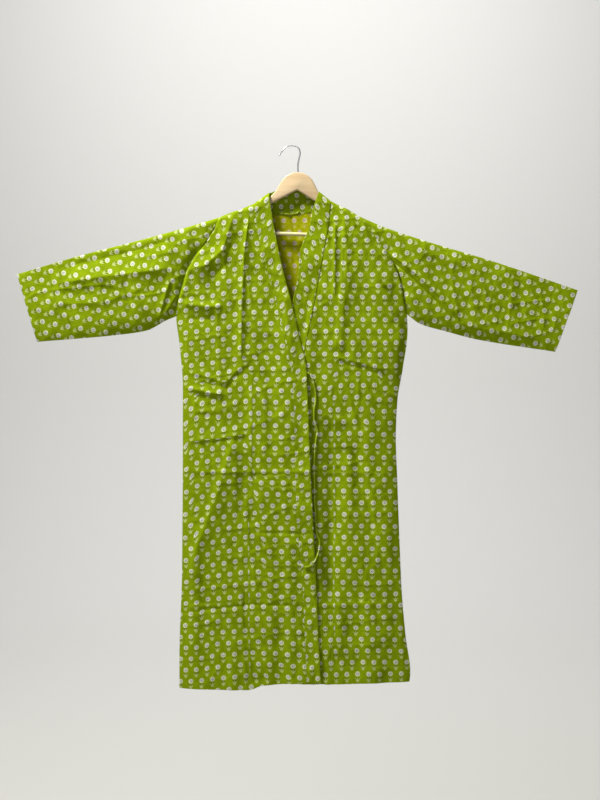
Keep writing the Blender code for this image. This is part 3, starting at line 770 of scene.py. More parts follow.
def make_front_inner(materials):
    """Make the front that lies under, on the right."""
    seam_low, seam_high = HEM_INNER[0][1], SHOULDER_RIGHT[-1][1]
    hem = smooth(HEM_INNER)
    edges = [
        upright(INNER_SEAM_AT, seam_low, seam_high),
        upright(RIGHT_AT, HEM_INNER[-1][1], SHOULDER_RIGHT[0][1]),
        level(hem, INNER_SEAM_AT(seam_low), HEM_INNER[-1][0]),
        level(smooth(SHOULDER_RIGHT), SHOULDER_RIGHT[-1][0], SHOULDER_RIGHT[0][0]),
    ]
    make_front("front_inner", edges, INNER_WIDTH, INNER_SEAM_AT, hem, inner_y, INNER_TUCKS, materials)


def band_across(part):
    """Return how a band rises from its seam and rounds over at its free edge."""
    return BAND_RISE * (1 - (2 * part - 1) ** 8)


def make_front_band(name, node, edges, depth_at, materials):
    """Make the band of one front, a doubled strip from the hem to the shoulder."""
    part = close_rows(BAND_WIDTH, BAND_STEP, BAND_EDGE_ROWS, BAND_EDGE_ROWS)
    x, z = blend_edges(*edges, part, body_rows(BODY_STEP))
    across = np.broadcast_to(part, x.shape)
    y = depth_at(x, z) - band_across(across) * fullness(x, z)
    middle = len(part) // 2
    line_x, line_z = x[:, middle], z[:, middle]
    travel = np.concatenate([[0], np.cumsum(np.hypot(np.diff(line_x), np.diff(line_z)))])
    lean = np.gradient(line_x, travel)[:, None]
    off = x - line_x[:, None]
    start_u, start_v = PRINT_START[node]
    flat = np.dstack([off * np.sqrt(1 - lean ** 2) + start_u, travel[:, None] + off * lean + start_v])
    declare_cloth(cloth_piece(name, np.dstack([x, y, z]), flat, materials, BAND_THICK), node)


def make_front_bands(materials):
    """Make both front bands."""
    seam_top, (seam_x, seam_low), (edge_low, edge_x) = SHOULDER_LEFT[-1], HEM_OUTER[-1], OUTER_EDGE[-1]
    outer_edges = [
        upright(OUTER_SEAM_AT, seam_low, seam_top[1]),
        upright(OUTER_EDGE_AT, edge_low, NECK_LEFT[1]),
        level(smooth([(seam_x, seam_low), (edge_x, edge_low)]), seam_x, edge_x),
        level(smooth([seam_top, NECK_LEFT]), seam_top[0], NECK_LEFT[0]),
    ]
    make_front_band("band_front_outer", "band_outer", outer_edges, outer_y, materials)
    seam_top, (seam_x, seam_low), (edge_low, edge_x) = SHOULDER_RIGHT[-1], HEM_INNER[0], INNER_EDGE[-1]
    inner_edges = [
        upright(INNER_EDGE_AT, edge_low, NECK_RIGHT[1]),
        upright(INNER_SEAM_AT, seam_low, seam_top[1]),
        level(smooth([(edge_x, edge_low), (seam_x, seam_low)]), edge_x, seam_x),
        level(smooth([NECK_RIGHT, seam_top]), NECK_RIGHT[0], seam_top[0]),
    ]
    make_front_band("band_front_inner", "band_inner", inner_edges, inner_y, materials)


def make_neckband(materials):
    """Make the stretch of the band that stands up round the back neck."""
    left, right = NECK_SEAM[0], NECK_SEAM[-1]
    edges = [
        upright(smooth([left[::-1], NECK_LEFT[::-1]]), left[1], NECK_LEFT[1]),
        upright(smooth([right[::-1], NECK_RIGHT[::-1]]), right[1], NECK_RIGHT[1]),
        level(BACK_TOP_AT, left[0], right[0]),
        level(smooth(NECK_TOP), NECK_LEFT[0], NECK_RIGHT[0]),
    ]
    part = close_rows(BAND_WIDTH, BAND_STEP, BAND_EDGE_ROWS, BAND_EDGE_ROWS)
    across = close_rows(NECK_LENGTH, NECK_STEP, TURN_ROWS, TURN_ROWS)
    x, z = blend_edges(*edges, across, part)
    rise, scale, middle, reach = NECK_RIPPLE
    ripple = rise * np.sin(x / scale) * np.exp(-((z - middle) / reach) ** 2)
    ripple -= fold_relief(x, z, NECK_FOLDS)
    y = back_y(x, z) + ripple * fullness(x, z)
    start_u, start_v = PRINT_START["band_neck"]
    places = np.dstack([x, y, z])[:, ::-1]
    flat = np.dstack([x + start_u, z + start_v])[:, ::-1]
    declare_cloth(cloth_piece("band_back_neck", places, flat, materials, BAND_THICK), "band_neck")


def make_sleeve(node, armhole_at, top_line, low_line, outward, slope, seed, materials):
    """Make a sleeve, a flat tube from the armhole to the hemmed open cuff."""
    start_top, (end_top, end_high) = top_line[0][0], top_line[-1]
    start_low, (end_low, end_base) = low_line[0][0], low_line[-1]
    edges = [
        upright(armhole_at, low_line[0][1], top_line[0][1], ARMHOLE_GAP * outward),
        upright(smooth([(end_base, end_low), (end_high, end_top)]), end_base, end_high),
        level(smooth(low_line), start_low, end_low),
        level(smooth(top_line), start_top, end_top),
    ]
    across = close_rows(SLEEVE_LENGTH, SLEEVE_STEP, ARMHOLE_ROWS, CUFF_ROWS)
    up = close_rows(ARMHOLE_LENGTH, SLEEVE_STEP, SLEEVE_LOW_ROWS, TURN_ROWS)
    x, z = blend_edges(*edges, across, up)
    armhole = ARMHOLE_LEFT if outward < 0 else ARMHOLE_RIGHT
    valley = seam_groove(along_line(x, z, armhole)[0], armhole_depth(z), SLEEVE_VALLEY)
    cuff = along_line(x, z, [low_line[-1], top_line[-1]])[0]
    lift = (valley + CUFF_STEP * ramp((CUFF_HEM - cuff) / CUFF_RUN)) * fullness(x, z)
    front = np.minimum(front_y(x, z, SLEEVE_FOLDS, seed) - lift, -SLEEVE_FOLD_HALF)
    back = np.maximum(back_y(x, z, SLEEVE_FOLDS, seed + 5) + lift, SLEEVE_FOLD_HALF)
    front[0] = front[-1] = back[0] = back[-1] = 0
    turn = math.radians(slope)
    start_u, start_v = PRINT_START["sleeve"]
    flat_u = (x * math.sin(turn) + outward * z * math.cos(turn)) * PRINT_COLUMN / SLEEVE_COLUMN + start_u
    flat_v = -outward * x * math.cos(turn) + z * math.sin(turn) + start_v
    back_u = 2 * flat_u[-1] - flat_u
    places = np.concatenate([np.dstack([x, front, z]), np.dstack([x, back, z])[-2::-1]])
    flat = np.concatenate([np.dstack([flat_u, flat_v]), np.dstack([back_u, flat_v])[-2::-1]])
    if outward < 0:
        places, flat = places[:, ::-1], flat[:, ::-1]
    declare_cloth(cloth_piece("cloth_" + node, places, flat, materials, closed=True), node)


def smooth_route(points, count):
    """Return evenly set places on a smooth curve through a few points."""
    points = np.array(points, dtype=float)
    steps = np.linalg.norm(np.diff(points, axis=0), axis=1)
    travel = np.concatenate([[0], np.cumsum(steps)])
    wanted = np.linspace(0, travel[-1], count)
    columns = [smooth(list(zip(travel, column)))(wanted) for column in points.T]
    return np.stack(columns, axis=1)


def round_curve(name, routes, radius, material, sides=4, caps=True):
    """Add one curve object with a round section along each route."""
    curve = bpy.data.curves.new(name, "CURVE")
    curve.dimensions = "3D"
    curve.bevel_depth = radius * MM
    curve.bevel_resolution = sides
    curve.render_resolution_u = 0
    curve.use_fill_caps = caps
    for route in routes:
        line = curve.splines.new("POLY")
        line.points.add(len(route) - 1)
        values = np.hstack([np.array(route) * MM, np.ones((len(route), 1))])
        line.points.foreach_set("co", values.ravel())
        line.use_smooth = True
    curve.materials.append(material)
    piece = bpy.data.objects.new(name, curve)
    bpy.context.scene.collection.objects.link(piece)
    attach(piece, BODY)
    return piece


def make_tie(material):
    """Make the narrow tie, from the outer edge down over the inner front."""
    x, z = smooth_route(TIE_LINE, TIE_POINTS).T
    clear = CAD_WALL / 2 + CAD_GAP + TIE_RADIUS
    on_outer = ramp((OUTER_EDGE_AT(z) + 6 * TIE_RADIUS - x) / (4 * TIE_RADIUS))
    y = inner_y(x, z) - clear
    over = outer_y(x, z) - clear - TIE_LIFT
    y = np.where(z < TIE_CROSSING, y + on_outer * (over - y), y)
    count = 2 * TIE_EASE + 1
    eased = np.convolve(np.pad(y, TIE_EASE, mode="edge"), np.ones(count) / count, mode="valid")
    y = np.minimum(eased, y + TIE_SINK)
    route = np.stack([x, y, z], axis=1)
    piece = round_curve("tie_cord", [route], TIE_RADIUS, material)
    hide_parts("tie")


def make_hanging_loop(material):
    """Make the narrow loop of cloth inside the back neck."""
    x, z = smooth_route(LOOP_LINE, 40).T
    y = back_y(x, z) - CAD_WALL / 2 - CAD_GAP - LOOP_RADIUS
    piece = round_curve("neck_loop", [np.stack([x, y, z], axis=1)], LOOP_RADIUS, material)
    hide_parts("hanging_loop")


def stitches_along(x, y, z):
    """Return the short runs of thread that show along a sewn line."""
    line = np.stack([x, y, z], axis=1)
    steps = np.linalg.norm(np.diff(line, axis=0), axis=1)
    travel = np.concatenate([[0], np.cumsum(steps)])
    starts = np.arange(STITCH_STEP, travel[-1] - STITCH_STEP, STITCH_STEP)
    runs = []
    for start in starts:
        wanted = start + np.array([0, STITCH_LENGTH / 2, STITCH_LENGTH])
        run = np.stack([np.interp(wanted, travel, column) for column in line.T], axis=1)
        runs.append(run)
    return runs


def make_stitching(material):
    """Sew the visible topstitching of bands, hems and cuffs."""
    runs = []
    proud = CLOTH_THICK / 2 + THREAD_RADIUS / 2
    band_proud = BAND_THICK / 2 + THREAD_RADIUS / 2 + BAND_SWELL
    bands = [
        (OUTER_EDGE_AT, -STITCH_INSET, outer_y, OUTER_STITCHED),
        (OUTER_SEAM_AT, STITCH_INSET, outer_y, OUTER_STITCHED),
        (INNER_EDGE_AT, STITCH_INSET, inner_y, INNER_EDGE_STITCHED),
        (INNER_SEAM_AT, -STITCH_INSET, inner_y, INNER_SEAM_STITCHED),
    ]
    for edge_at, inward, depth_at, stitched in bands:
        z = np.linspace(*stitched)
        x = edge_at(z) + inward
        runs += stitches_along(x, depth_at(x, z) - band_proud, z)
    hems = [
        (HEM_OUTER, HEM_OUTER[0][0] + HEM_SHORT, outer_y, -1),
        (HEM_INNER, OUTER_EDGE[-1][1] + LAP_SHORT, inner_y, -1),
        (HEM_BACK, HEM_BACK[0][0] + HEM_SHORT, back_y, 1),
    ]
    for rows, left, depth_at, turn in hems:
        x = np.linspace(left, rows[-1][0] - HEM_SHORT, HEM_POINTS)
        z_hem = smooth(rows)(x) + HEM_DEPTH - HEM_STITCH
        y = depth_at(x, z_hem) + turn * (proud + HEM_SWELL)
        runs += stitches_along(x, y, z_hem)
    for top_line, low_line, seed in (
        (SLEEVE_TOP_LEFT, SLEEVE_LOW_LEFT, 60),
        (SLEEVE_TOP_RIGHT, SLEEVE_LOW_RIGHT, 80),
    ):
        top_end, low_end = np.array(top_line[-1]), np.array(low_line[-1])
        inward = np.array([-np.sign(top_end[0]) * CUFF_INWARD[0], CUFF_INWARD[1]])
        inward *= CUFF_HEM - HEM_STITCH
        part = np.linspace(*CUFF_PART, CUFF_POINTS)[:, None]
        x, z_cuff = (low_end + inward + part * (top_end - low_end)).T
        front = np.minimum(front_y(x, z_cuff, SLEEVE_FOLDS, seed), -SLEEVE_FOLD_HALF)
        back = np.maximum(back_y(x, z_cuff, SLEEVE_FOLDS, seed + 5), SLEEVE_FOLD_HALF)
        runs += stitches_along(x, front - proud - CUFF_SWELL, z_cuff)
        runs += stitches_along(x, back + proud + CUFF_SWELL, z_cuff)
    round_curve("topstitching", runs, THREAD_RADIUS, material, sides=0, caps=False)


class Nodes:
    """Adds nodes to a shader tree and joins them."""

    def __init__(self, tree):
        self.tree = tree

    def add(self, kind, **settings):
        node = self.tree.nodes.new(kind)
        for name, value in settings.items():
            setattr(node, name, value)
        return node

    def feed(self, socket, value):
        if isinstance(value, bpy.types.NodeSocket):
            self.tree.links.new(value, socket)
        else:
            socket.default_value = value

    def math(self, operation, *values):
        node = self.add("ShaderNodeMath", operation=operation)
        for socket, value in zip(node.inputs, values):
            self.feed(socket, value)
        return node.outputs[0]

    def soft_step(self, value, start, end):
        """Return a value that goes softly from 0 at start to 1 at end."""
        node = self.add("ShaderNodeMapRange", interpolation_type="SMOOTHSTEP")
        for name, number in (("Value", value), ("From Min", start), ("From Max", end)):
            self.feed(node.inputs[name], number)
        return node.outputs["Result"]

    def mix(self, part, first, second):
        node = self.add("ShaderNodeMix", data_type="RGBA")
        self.feed(node.inputs[0], part)
        self.feed(node.inputs[6], first)
        self.feed(node.inputs[7], second)
        return node.outputs[2]

    def noise(self, vector, scale, detail=2.0, roughness=0.5):
        node = self.add("ShaderNodeTexNoise")
        self.feed(node.inputs["Vector"], vector)
        node.inputs["Scale"].default_value = scale
        node.inputs["Detail"].default_value = detail
        node.inputs["Roughness"].default_value = roughness
        return node.outputs["Fac"]

    def stretch(self, vector, scale):
        return self.mapped(vector, "Scale", scale)

    def mapped(self, vector, change, amount):
        node = self.add("ShaderNodeMapping")
        self.feed(node.inputs["Vector"], vector)
        node.inputs[change].default_value = amount
        return node.outputs["Vector"]


def new_group(name, inputs, outputs):
    """Return a new shader group's helper, its input sockets and its output node."""
    group = bpy.data.node_groups.new(name, "ShaderNodeTree")
    for socket, kind in inputs:
        group.interface.new_socket(name=socket, in_out="INPUT", socket_type=kind)
    for socket, kind in outputs:
        group.interface.new_socket(name=socket, in_out="OUTPUT", socket_type=kind)
    nodes = Nodes(group)
    source = nodes.add("NodeGroupInput")
    sink = nodes.add("NodeGroupOutput")
    return group, nodes, source.outputs, sink.inputs


def flower_print_group():
    """Return the print: rows of round flower heads, each over a sprig of leaves."""
    group, n, given, out = new_group(
        "flower_print",
        [("Vector", "NodeSocketVector"), ("Ground", "NodeSocketColor"), ("Shade", "NodeSocketColor"),
         ("Petals", "NodeSocketColor"), ("Middle", "NodeSocketColor"), ("Lines", "NodeSocketColor"),
         ("Leaves", "NodeSocketColor")],
        [("Color", "NodeSocketColor")],
    )
    split = n.add("ShaderNodeSeparateXYZ")
    n.feed(split.inputs[0], given["Vector"])
    waver = n.math("MULTIPLY_ADD", n.noise(given["Vector"], 7, 1.0), PRINT_WAVE, -PRINT_WAVE / 2)
    moved = n.mapped(given["Vector"], "Location", (3, 5, 0))
    bob = n.math("MULTIPLY_ADD", n.noise(moved, 6, 1.0), PRINT_WAVE, -PRINT_WAVE / 2)
    across = n.math("MULTIPLY", n.math("ADD", split.outputs["X"], waver), 1 / MM / PRINT_COLUMN)
    up = n.math("MULTIPLY", n.math("ADD", split.outputs["Y"], bob), 1 / MM / PRINT_ROW)
    row = n.math("FLOOR", up)
    column = n.math("MULTIPLY_ADD", row, 0.5, across)
    x = n.math("MULTIPLY_ADD", n.math("FRACT", column), PRINT_COLUMN, -PRINT_COLUMN / 2)
    y = n.math("MULTIPLY_ADD", n.math("FRACT", up), PRINT_ROW, -PRINT_ROW / 2 - HEAD_HEIGHT)

    radius = n.math("SQRT", n.math("MULTIPLY_ADD", x, x, n.math("MULTIPLY", y, y)))
    angle = n.math("ARCTAN2", y, x)
    petals = n.math("COSINE", n.math("MULTIPLY", angle, PETALS))
    rim = n.math("MULTIPLY_ADD", petals, PETAL_DEPTH, HEAD_RADIUS)
    head = n.soft_step(n.math("SUBTRACT", rim, radius), -0.4, 0.5)

    turned = n.math("MULTIPLY_ADD", angle, -0.5 / math.pi, n.math("MULTIPLY", radius, 1 / CURL_PITCH))
    from_line = n.math("ABSOLUTE", n.math("SUBTRACT", n.math("FRACT", turned), 0.5))
    curl = n.math("MULTIPLY", n.soft_step(from_line, 0.28, 0.44), n.soft_step(radius, 4.6, 3.8))
    ring = n.soft_step(n.math("ABSOLUTE", n.math("SUBTRACT", radius, NOTCH_RADIUS)), 0.7, 0.3)
    notch = n.math("MULTIPLY", ring, n.soft_step(petals, 0.2, -0.6))
    lines = n.math("MAXIMUM", curl, n.math("MULTIPLY", notch, 0.8))
    spots = n.soft_step(n.noise(given["Vector"], 620, 1.0), 0.46, 0.62)
    spots = n.math("MULTIPLY", spots, n.soft_step(radius, 5.4, 4.0))
    lines = n.math("MAXIMUM", lines, n.math("MULTIPLY", spots, 0.42))

    side = n.math("ABSOLUTE", x)
    sprig = 0.0
    for foot, lean, reach, wide in SPRIG_LEAVES:
        lean_x, lean_y = math.sin(math.radians(lean)), math.cos(math.radians(lean))
        leaf_y = n.math("SUBTRACT", y, foot)
        along = n.math("MULTIPLY_ADD", side, lean_x, n.math("MULTIPLY", leaf_y, lean_y))
        off = n.math("SUBTRACT", n.math("MULTIPLY", side, lean_y), n.math("MULTIPLY", leaf_y, lean_x))
        inside = n.math("MULTIPLY", n.soft_step(along, 0, 0.5), n.soft_step(along, reach, reach - 0.5))
        swell = n.math("SINE", n.math("MULTIPLY", along, math.pi / reach))
        half = n.math("MULTIPLY", n.math("MULTIPLY", swell, inside), wide)
        leaf = n.soft_step(n.math("SUBTRACT", half, n.math("ABSOLUTE", off)), -0.2, 0.3)
        sprig = n.math("MAXIMUM", sprig, n.math("MULTIPLY", leaf, inside))
    below, half_wide, half_high = SPRIG_SHADE
    shade_y = n.math("MULTIPLY_ADD", y, 1 / half_high, below / half_high)
    shade_x = n.math("MULTIPLY", x, 1 / half_wide)
    shade_far = n.math("MULTIPLY_ADD", shade_x, shade_x, n.math("MULTIPLY", shade_y, shade_y))
    shade = n.math("MULTIPLY", n.soft_step(shade_far, 1.3, 0.5), 0.5)

    patchy = n.noise(given["Vector"], 900, 1.0)
    leaf_ink = n.math("MULTIPLY", sprig, n.math("MULTIPLY_ADD", patchy, 0.5, 0.5))
    head_ink = n.math("MULTIPLY", head, n.math("MULTIPLY_ADD", patchy, 0.3, 0.86))
    colour = n.mix(shade, given["Ground"], given["Shade"])
    colour = n.mix(n.math("MINIMUM", leaf_ink, 1.0), colour, given["Leaves"])
    petal = n.mix(n.soft_step(radius, 1.8, 4.6), given["Middle"], given["Petals"])
    colour = n.mix(n.math("MINIMUM", head_ink, 1.0), colour, petal)
    colour = n.mix(n.math("MULTIPLY", lines, 0.85), colour, given["Lines"])
    n.feed(out["Color"], colour)
    return group


def cotton_group():
    """Return the look of thin plain-woven cotton: threads, slubs and slight fading."""
    group, n, given, out = new_group(
        "plain_weave",
        [("Vector", "NodeSocketVector"), ("Color", "NodeSocketColor"), ("Strength", "NodeSocketFloat")],
        [("Color", "NodeSocketColor"), ("Height", "NodeSocketFloat"), ("Roughness", "NodeSocketFloat")],
    )
    warp = n.noise(n.stretch(given["Vector"], (1500, 40, 1)), 1.0, 2.0)
    weft = n.noise(n.stretch(given["Vector"], (40, 1500, 1)), 1.0, 2.0)
    threads = n.math("SUBTRACT", n.math("ADD", warp, weft), 1.0)
    cloud = n.math("SUBTRACT", n.noise(given["Vector"], 14, 3.0), 0.5)
    change = n.math("ADD", n.math("MULTIPLY", threads, 0.55), n.math("MULTIPLY", cloud, 0.28))
    light = n.math("MULTIPLY_ADD", change, given["Strength"], 1.0)
    tone = n.add("ShaderNodeVectorMath", operation="SCALE")
    n.feed(tone.inputs[0], given["Color"])
    n.feed(tone.inputs["Scale"], light)
    split = n.add("ShaderNodeSeparateXYZ")
    n.feed(split.inputs[0], given["Vector"])
    thread_turns = 2 * math.pi / WEAVE_REPEAT
    over = n.math("SINE", n.math("MULTIPLY", split.outputs["X"], thread_turns))
    under = n.math("SINE", n.math("MULTIPLY", split.outputs["Y"], thread_turns))
    weave = n.math("MULTIPLY", over, under)
    n.feed(out["Color"], tone.outputs["Vector"])
    wrinkled = n.noise(n.stretch(given["Vector"], (64, 46, 1)), 1.0, 3.0, 0.55)
    crinkle = n.math("MULTIPLY", n.math("ABSOLUTE", n.math("SUBTRACT", wrinkled, 0.5)), -CRINKLE)
    close_up = n.math("ADD", n.math("MULTIPLY", weave, 0.5), threads)
    n.feed(out["Height"], n.math("ADD", close_up, crinkle))
    n.feed(out["Roughness"], n.math("MULTIPLY_ADD", cloud, 0.15, 0.78))
    return group


def wood_grain_group():
    """Return pale close-grained wood with fine pores along its length."""
    group, n, given, out = new_group(
        "pale_wood",
        [("Vector", "NodeSocketVector"), ("Light", "NodeSocketColor"), ("Dark", "NodeSocketColor")],
        [("Color", "NodeSocketColor"), ("Height", "NodeSocketFloat"), ("Roughness", "NodeSocketFloat")],
    )
    figure = n.noise(n.stretch(given["Vector"], (9, 60, 110)), 1.0, 4.0, 0.6)
    pores = n.noise(n.stretch(given["Vector"], (60, 700, 1400)), 1.0, 2.0, 0.6)
    flecks = n.soft_step(pores, 0.6, 0.72)
    shade = n.math("MULTIPLY_ADD", flecks, 0.35, n.soft_step(figure, 0.3, 0.75))
    colour = n.mix(n.math("MINIMUM", shade, 1.0), given["Light"], given["Dark"])
    n.feed(out["Color"], colour)
    n.feed(out["Height"], n.math("SUBTRACT", figure, n.math("MULTIPLY", flecks, 0.5)))
    n.feed(out["Roughness"], n.math("MULTIPLY_ADD", pores, 0.2, 0.3))
    return group


def new_material(name):
    """Return a new material, its node helper and its main shader."""
    material = bpy.data.materials.new(name)
    material.use_nodes = True
    nodes = Nodes(material.node_tree)
    return material, nodes, material.node_tree.nodes["Principled BSDF"]


def colour(red, green, blue):
    """Return a linear colour from screen values of 0 to 255."""
    linear = [(value / 255 / 12.92) if value <= 10 else ((value / 255 + 0.055) / 1.055) ** 2.4
              for value in (red, green, blue)]
    return (*linear, 1.0)


def place_group(nodes, group, **values):
    """Place a shader group in a material and set its inputs."""
    placed = nodes.add("ShaderNodeGroup", node_tree=group)
    for name, value in values.items():
        nodes.feed(placed.inputs[name], value)
    return placed.outputs


def add_bump(nodes, shader, height, distance, strength=1.0):
    """Feed a height into a shader's normal."""
    bump = nodes.add("ShaderNodeBump")
    bump.inputs["Strength"].default_value = strength
    bump.inputs["Distance"].default_value = distance
    nodes.feed(bump.inputs["Height"], height)
    nodes.feed(shader.inputs["Normal"], bump.outputs["Normal"])


def printed_cloth(name, print_group, weave_group, inks, rolled=False):
    """Return a printed cotton finish, on the flat print or rolled into a cord."""
    material, nodes, shader = new_material(name)
    place = nodes.add("ShaderNodeTexCoord").outputs
    where = place["UV"]
    if rolled:
        where = nodes.mapped(place["Object"], "Rotation", (math.radians(-90), 0, 0))
    printed = place_group(nodes, print_group, Vector=where, **inks)
    woven = place_group(nodes, weave_group, Vector=where, Color=printed["Color"], Strength=1.0)
    nodes.feed(shader.inputs["Base Color"], woven["Color"])
    nodes.feed(shader.inputs["Roughness"], woven["Roughness"])
    add_bump(nodes, shader, woven["Height"], WEAVE_HEIGHT)
    shader.inputs["Sheen Weight"].default_value = 0.14
    shader.inputs["Sheen Roughness"].default_value = 0.4
    shader.inputs["Sheen Tint"].default_value = colour(200, 228, 110)
    shader.inputs["Specular IOR Level"].default_value = 0.06
    return material


def plain_cloth(name, weave_group, ground):
    """Return the finish of plain cotton thread."""
    material, nodes, shader = new_material(name)
    where = nodes.add("ShaderNodeTexCoord").outputs["Object"]
    woven = place_group(nodes, weave_group, Vector=where, Color=ground, Strength=0.8)
    nodes.feed(shader.inputs["Base Color"], woven["Color"])
    nodes.feed(shader.inputs["Roughness"], woven["Roughness"])
    add_bump(nodes, shader, woven["Height"], WEAVE_HEIGHT)
    shader.inputs["Specular IOR Level"].default_value = 0.3
    return material


def lacquered_wood(name, grain_group, light, dark):
    """Return a clear lacquered wood finish."""
    material, nodes, shader = new_material(name)
    where = nodes.add("ShaderNodeTexCoord").outputs["Object"]
    grain = place_group(nodes, grain_group, Vector=where, Light=light, Dark=dark)
    nodes.feed(shader.inputs["Base Color"], grain["Color"])
    nodes.feed(shader.inputs["Roughness"], grain["Roughness"])
    add_bump(nodes, shader, grain["Height"], 0.0001, 0.5)
    shader.inputs["Coat Weight"].default_value = 0.35
    shader.inputs["Coat Roughness"].default_value = 0.18
    return material


def chromed_steel():
    """Return the bright plated finish of the hook, faintly brushed and dulled."""
    material, nodes, shader = new_material("chromed_steel")
    where = nodes.add("ShaderNodeTexCoord").outputs["Object"]
    dull = nodes.noise(nodes.stretch(where, (400, 400, 400)), 1.0, 3.0)
    shader.inputs["Base Color"].default_value = colour(238, 238, 240)
    shader.inputs["Metallic"].default_value = 1.0
    nodes.feed(shader.inputs["Roughness"], nodes.math("MULTIPLY_ADD", dull, 0.2, 0.12))
    return material


def make_hanger(wood):
    """Make the wooden hanger from its solid's form, with its facets smoothed."""
    clear_selection()
    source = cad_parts["hanger_wood"]
    piece = bpy.data.objects.new("hanger_body", source.data.copy())
    bpy.context.scene.collection.objects.link(piece)
    piece.data.materials.clear()
    piece.data.materials.append(wood)
    bpy.context.view_layer.objects.active = piece
    piece.select_set(True)
    weld_corners()
    bpy.ops.object.shade_smooth_by_angle(angle=SMOOTH_ANGLE)
    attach(piece, BODY)
    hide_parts("hanger_wood")


def make_bar(wood):
    """Make the round bar with eased ends, leaning as its solid does."""
    low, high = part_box("hanger_bar")
    radius = (high[1] - low[1]) / 2
    start = np.array([low[0], 0, high[2] - radius])
    end = np.array([high[0], 0, low[2] + radius])
    lean = math.atan2(end[0] - start[0], end[2] - start[2])
    clear_selection()
    bpy.ops.mesh.primitive_cylinder_add(
        vertices=40, radius=radius, depth=float(np.linalg.norm(end - start)) - BAR_SHORT * MM,
        location=(start + end) / 2, rotation=(0, lean, 0))
    bar = bpy.context.object
    bar.name = "trouser_bar"
    bevel = bar.modifiers.new("eased ends", "BEVEL")
    bevel.width = BAR_EASE * MM
    bevel.segments = 3
    bevel.angle_limit = math.radians(60)
    bpy.ops.object.modifier_apply(modifier=bevel.name)
    bpy.ops.object.transform_apply(location=True, rotation=True, scale=True)
    bpy.ops.object.shade_smooth_by_angle(angle=SMOOTH_ANGLE)
    bar.data.materials.append(wood)
    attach(bar, BODY)
    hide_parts("hanger_bar")


def make_hook(chrome):
    """Make the bent wire hook with its round tip."""
    x, z = smooth_route(HOOK_LINE, 120).T
    route = np.stack([x, 0 * x, z], axis=1)
    hook = round_curve("hook_wire", [route], HOOK_WIRE / 2, chrome, sides=6)
    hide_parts("hanger_hook")
    clear_selection()
    tip = route[-1] * MM
    bpy.ops.mesh.primitive_uv_sphere_add(segments=24, ring_count=16, radius=HOOK_TIP * MM, location=tip)
    ball = bpy.context.object
    ball.name = "hook_tip"
    bpy.ops.object.transform_apply(location=True, rotation=True, scale=True)
    bpy.ops.object.shade_smooth()
    ball.data.materials.append(chrome)
    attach(ball, BODY)


def make_stage():
    """Make the pale floor, which sweeps up into a far backdrop, coloured darker near and lighter far off
    as painted shade.
    """
    clear_selection()
    bpy.ops.mesh.primitive_grid_add(x_subdivisions=2, y_subdivisions=48, size=1)
    floor = bpy.context.object
    floor.name = "studio_sweep"
    near, far, turn, top = -6.0, 5.0, 2.0, 6.0
    length = far - near + math.pi / 2 * turn + top
    for vertex in floor.data.vertices:
        travel = (vertex.co.y + 0.5) * length
        side = vertex.co.x * STAGE_WIDTH
        if travel < far - near:
            place = (side, near + travel, FLOOR_HEIGHT)
        elif travel < far - near + math.pi / 2 * turn:
            angle = (travel - (far - near)) / turn
            place = (side, far + turn * math.sin(angle), FLOOR_HEIGHT + turn * (1 - math.cos(angle)))
        else:
            place = (side, far + turn, FLOOR_HEIGHT + turn + travel - (length - top))
        vertex.co = place
    bpy.ops.object.shade_smooth()
    material, nodes, shader = new_material("studio_paper")
    place = nodes.add("ShaderNodeSeparateXYZ")
    nodes.feed(place.inputs[0], nodes.add("ShaderNodeTexCoord").outputs["Object"])
    # Painted shade: the sweep's colour runs from darker near to lighter far off, in place of the light's
    # falloff.
    painted_falloff_part = nodes.soft_step(place.outputs["Y"], 0.0, 7.0)
    paper_and_painted_shade = nodes.mix(painted_falloff_part, colour(208, 207, 201), colour(232, 231, 228))
    nodes.feed(shader.inputs["Base Color"], paper_and_painted_shade)
    shader.inputs["Roughness"].default_value = 0.9
    floor.data.materials.append(material)


def add_light(name, place, aim, size, power, tint):
    """Add a soft square light, aimed at a place."""
    lamp = bpy.data.lights.new(name, "AREA")
    lamp.size = size
    lamp.energy = power
    lamp.color = tint
    light = bpy.data.objects.new(name, lamp)
    bpy.context.scene.collection.objects.link(light)
    light.location = place
    run = np.array(aim) - np.array(place)
    flat = math.hypot(run[0], run[1])
    light.rotation_euler = (math.atan2(flat, -run[2]), 0, math.atan2(run[0], -run[1]) + math.pi)


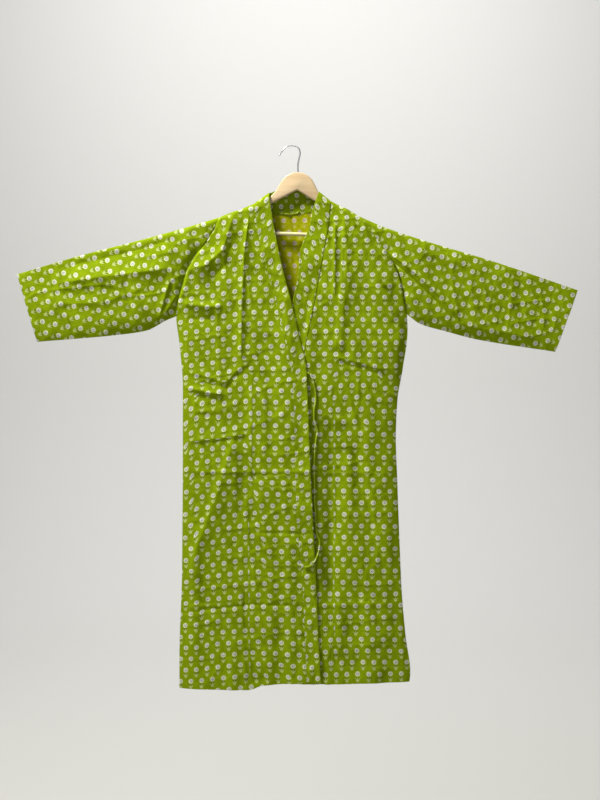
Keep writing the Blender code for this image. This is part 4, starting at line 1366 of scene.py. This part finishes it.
def set_camera_and_light():
    """Set the photograph's square-on view and soft light from above."""
    lens = bpy.data.cameras.new("view")
    lens.sensor_width = SENSOR
    lens.lens = SENSOR * CAMERA_DISTANCE / FRAME_HEIGHT
    camera = bpy.data.objects.new("view", lens)
    bpy.context.scene.collection.objects.link(camera)
    camera.location = (FRAME_MIDDLE[0], CLOTH_PLANE - CAMERA_DISTANCE, FRAME_MIDDLE[1])
    camera.rotation_euler = (math.radians(90), 0, 0)
    bpy.context.scene.camera = camera
    for light in LIGHTS:
        add_light(*light)
    world = bpy.data.worlds.new("studio")
    world.use_nodes = True
    world.node_tree.nodes["Background"].inputs["Color"].default_value = (0.95, 0.96, 1.0, 1)
    world.node_tree.nodes["Background"].inputs["Strength"].default_value = 0.11
    bpy.context.scene.world = world
    bpy.context.scene.view_settings.view_transform = "Standard"


set_camera_and_light()
make_stage()

flower_print = flower_print_group()
plain_weave = cotton_group()
pale_wood = wood_grain_group()
right_inks = dict(
    Ground=colour(130, 152, 2), Shade=colour(76, 96, 0), Petals=colour(238, 241, 200),
    Middle=colour(212, 209, 210), Lines=colour(82, 88, 58), Leaves=colour(198, 207, 128))
right_side = printed_cloth("printed_cotton", flower_print, plain_weave, right_inks)
# Painted light: the tie and loop are the same cotton, with the ground painted lighter to lift them out of
# the outer front's shade.
rolled_inks_painted_light = dict(right_inks, Ground=colour(146, 168, 28))
rolled_print = printed_cloth("rolled_printed_cotton_painted_light", flower_print, plain_weave, rolled_inks_painted_light, rolled=True)
wrong_inks = dict(
    Ground=colour(164, 168, 4), Shade=colour(150, 150, 0), Petals=colour(212, 198, 172),
    Middle=colour(204, 180, 180), Lines=colour(158, 142, 100), Leaves=colour(184, 178, 96))
wrong_side = printed_cloth("printed_cotton_reverse", flower_print, plain_weave, wrong_inks)
thread = plain_cloth("sewing_thread", plain_weave, colour(150, 172, 40))
beech = lacquered_wood("lacquered_beech", pale_wood, colour(220, 194, 152), colour(204, 174, 128))
bar_beech = lacquered_wood("pale_bar_wood", pale_wood, colour(236, 224, 172), colour(214, 196, 140))
chrome = chromed_steel()

both_sides = [right_side, wrong_side]
make_back(both_sides)
make_front_inner(both_sides)
make_front_outer(both_sides)
make_front_bands([right_side])
make_neckband([right_side])
make_sleeve("sleeve_left", LEFT_AT, SLEEVE_TOP_LEFT, SLEEVE_LOW_LEFT, -1, 17, 60, both_sides)
make_sleeve("sleeve_right", RIGHT_AT, SLEEVE_TOP_RIGHT, SLEEVE_LOW_RIGHT, 1, 16, 80, both_sides)
make_tie(rolled_print)
make_hanging_loop(rolled_print)
make_stitching(thread)
make_hanger(beech)
make_bar(bar_beech)
make_hook(chrome)
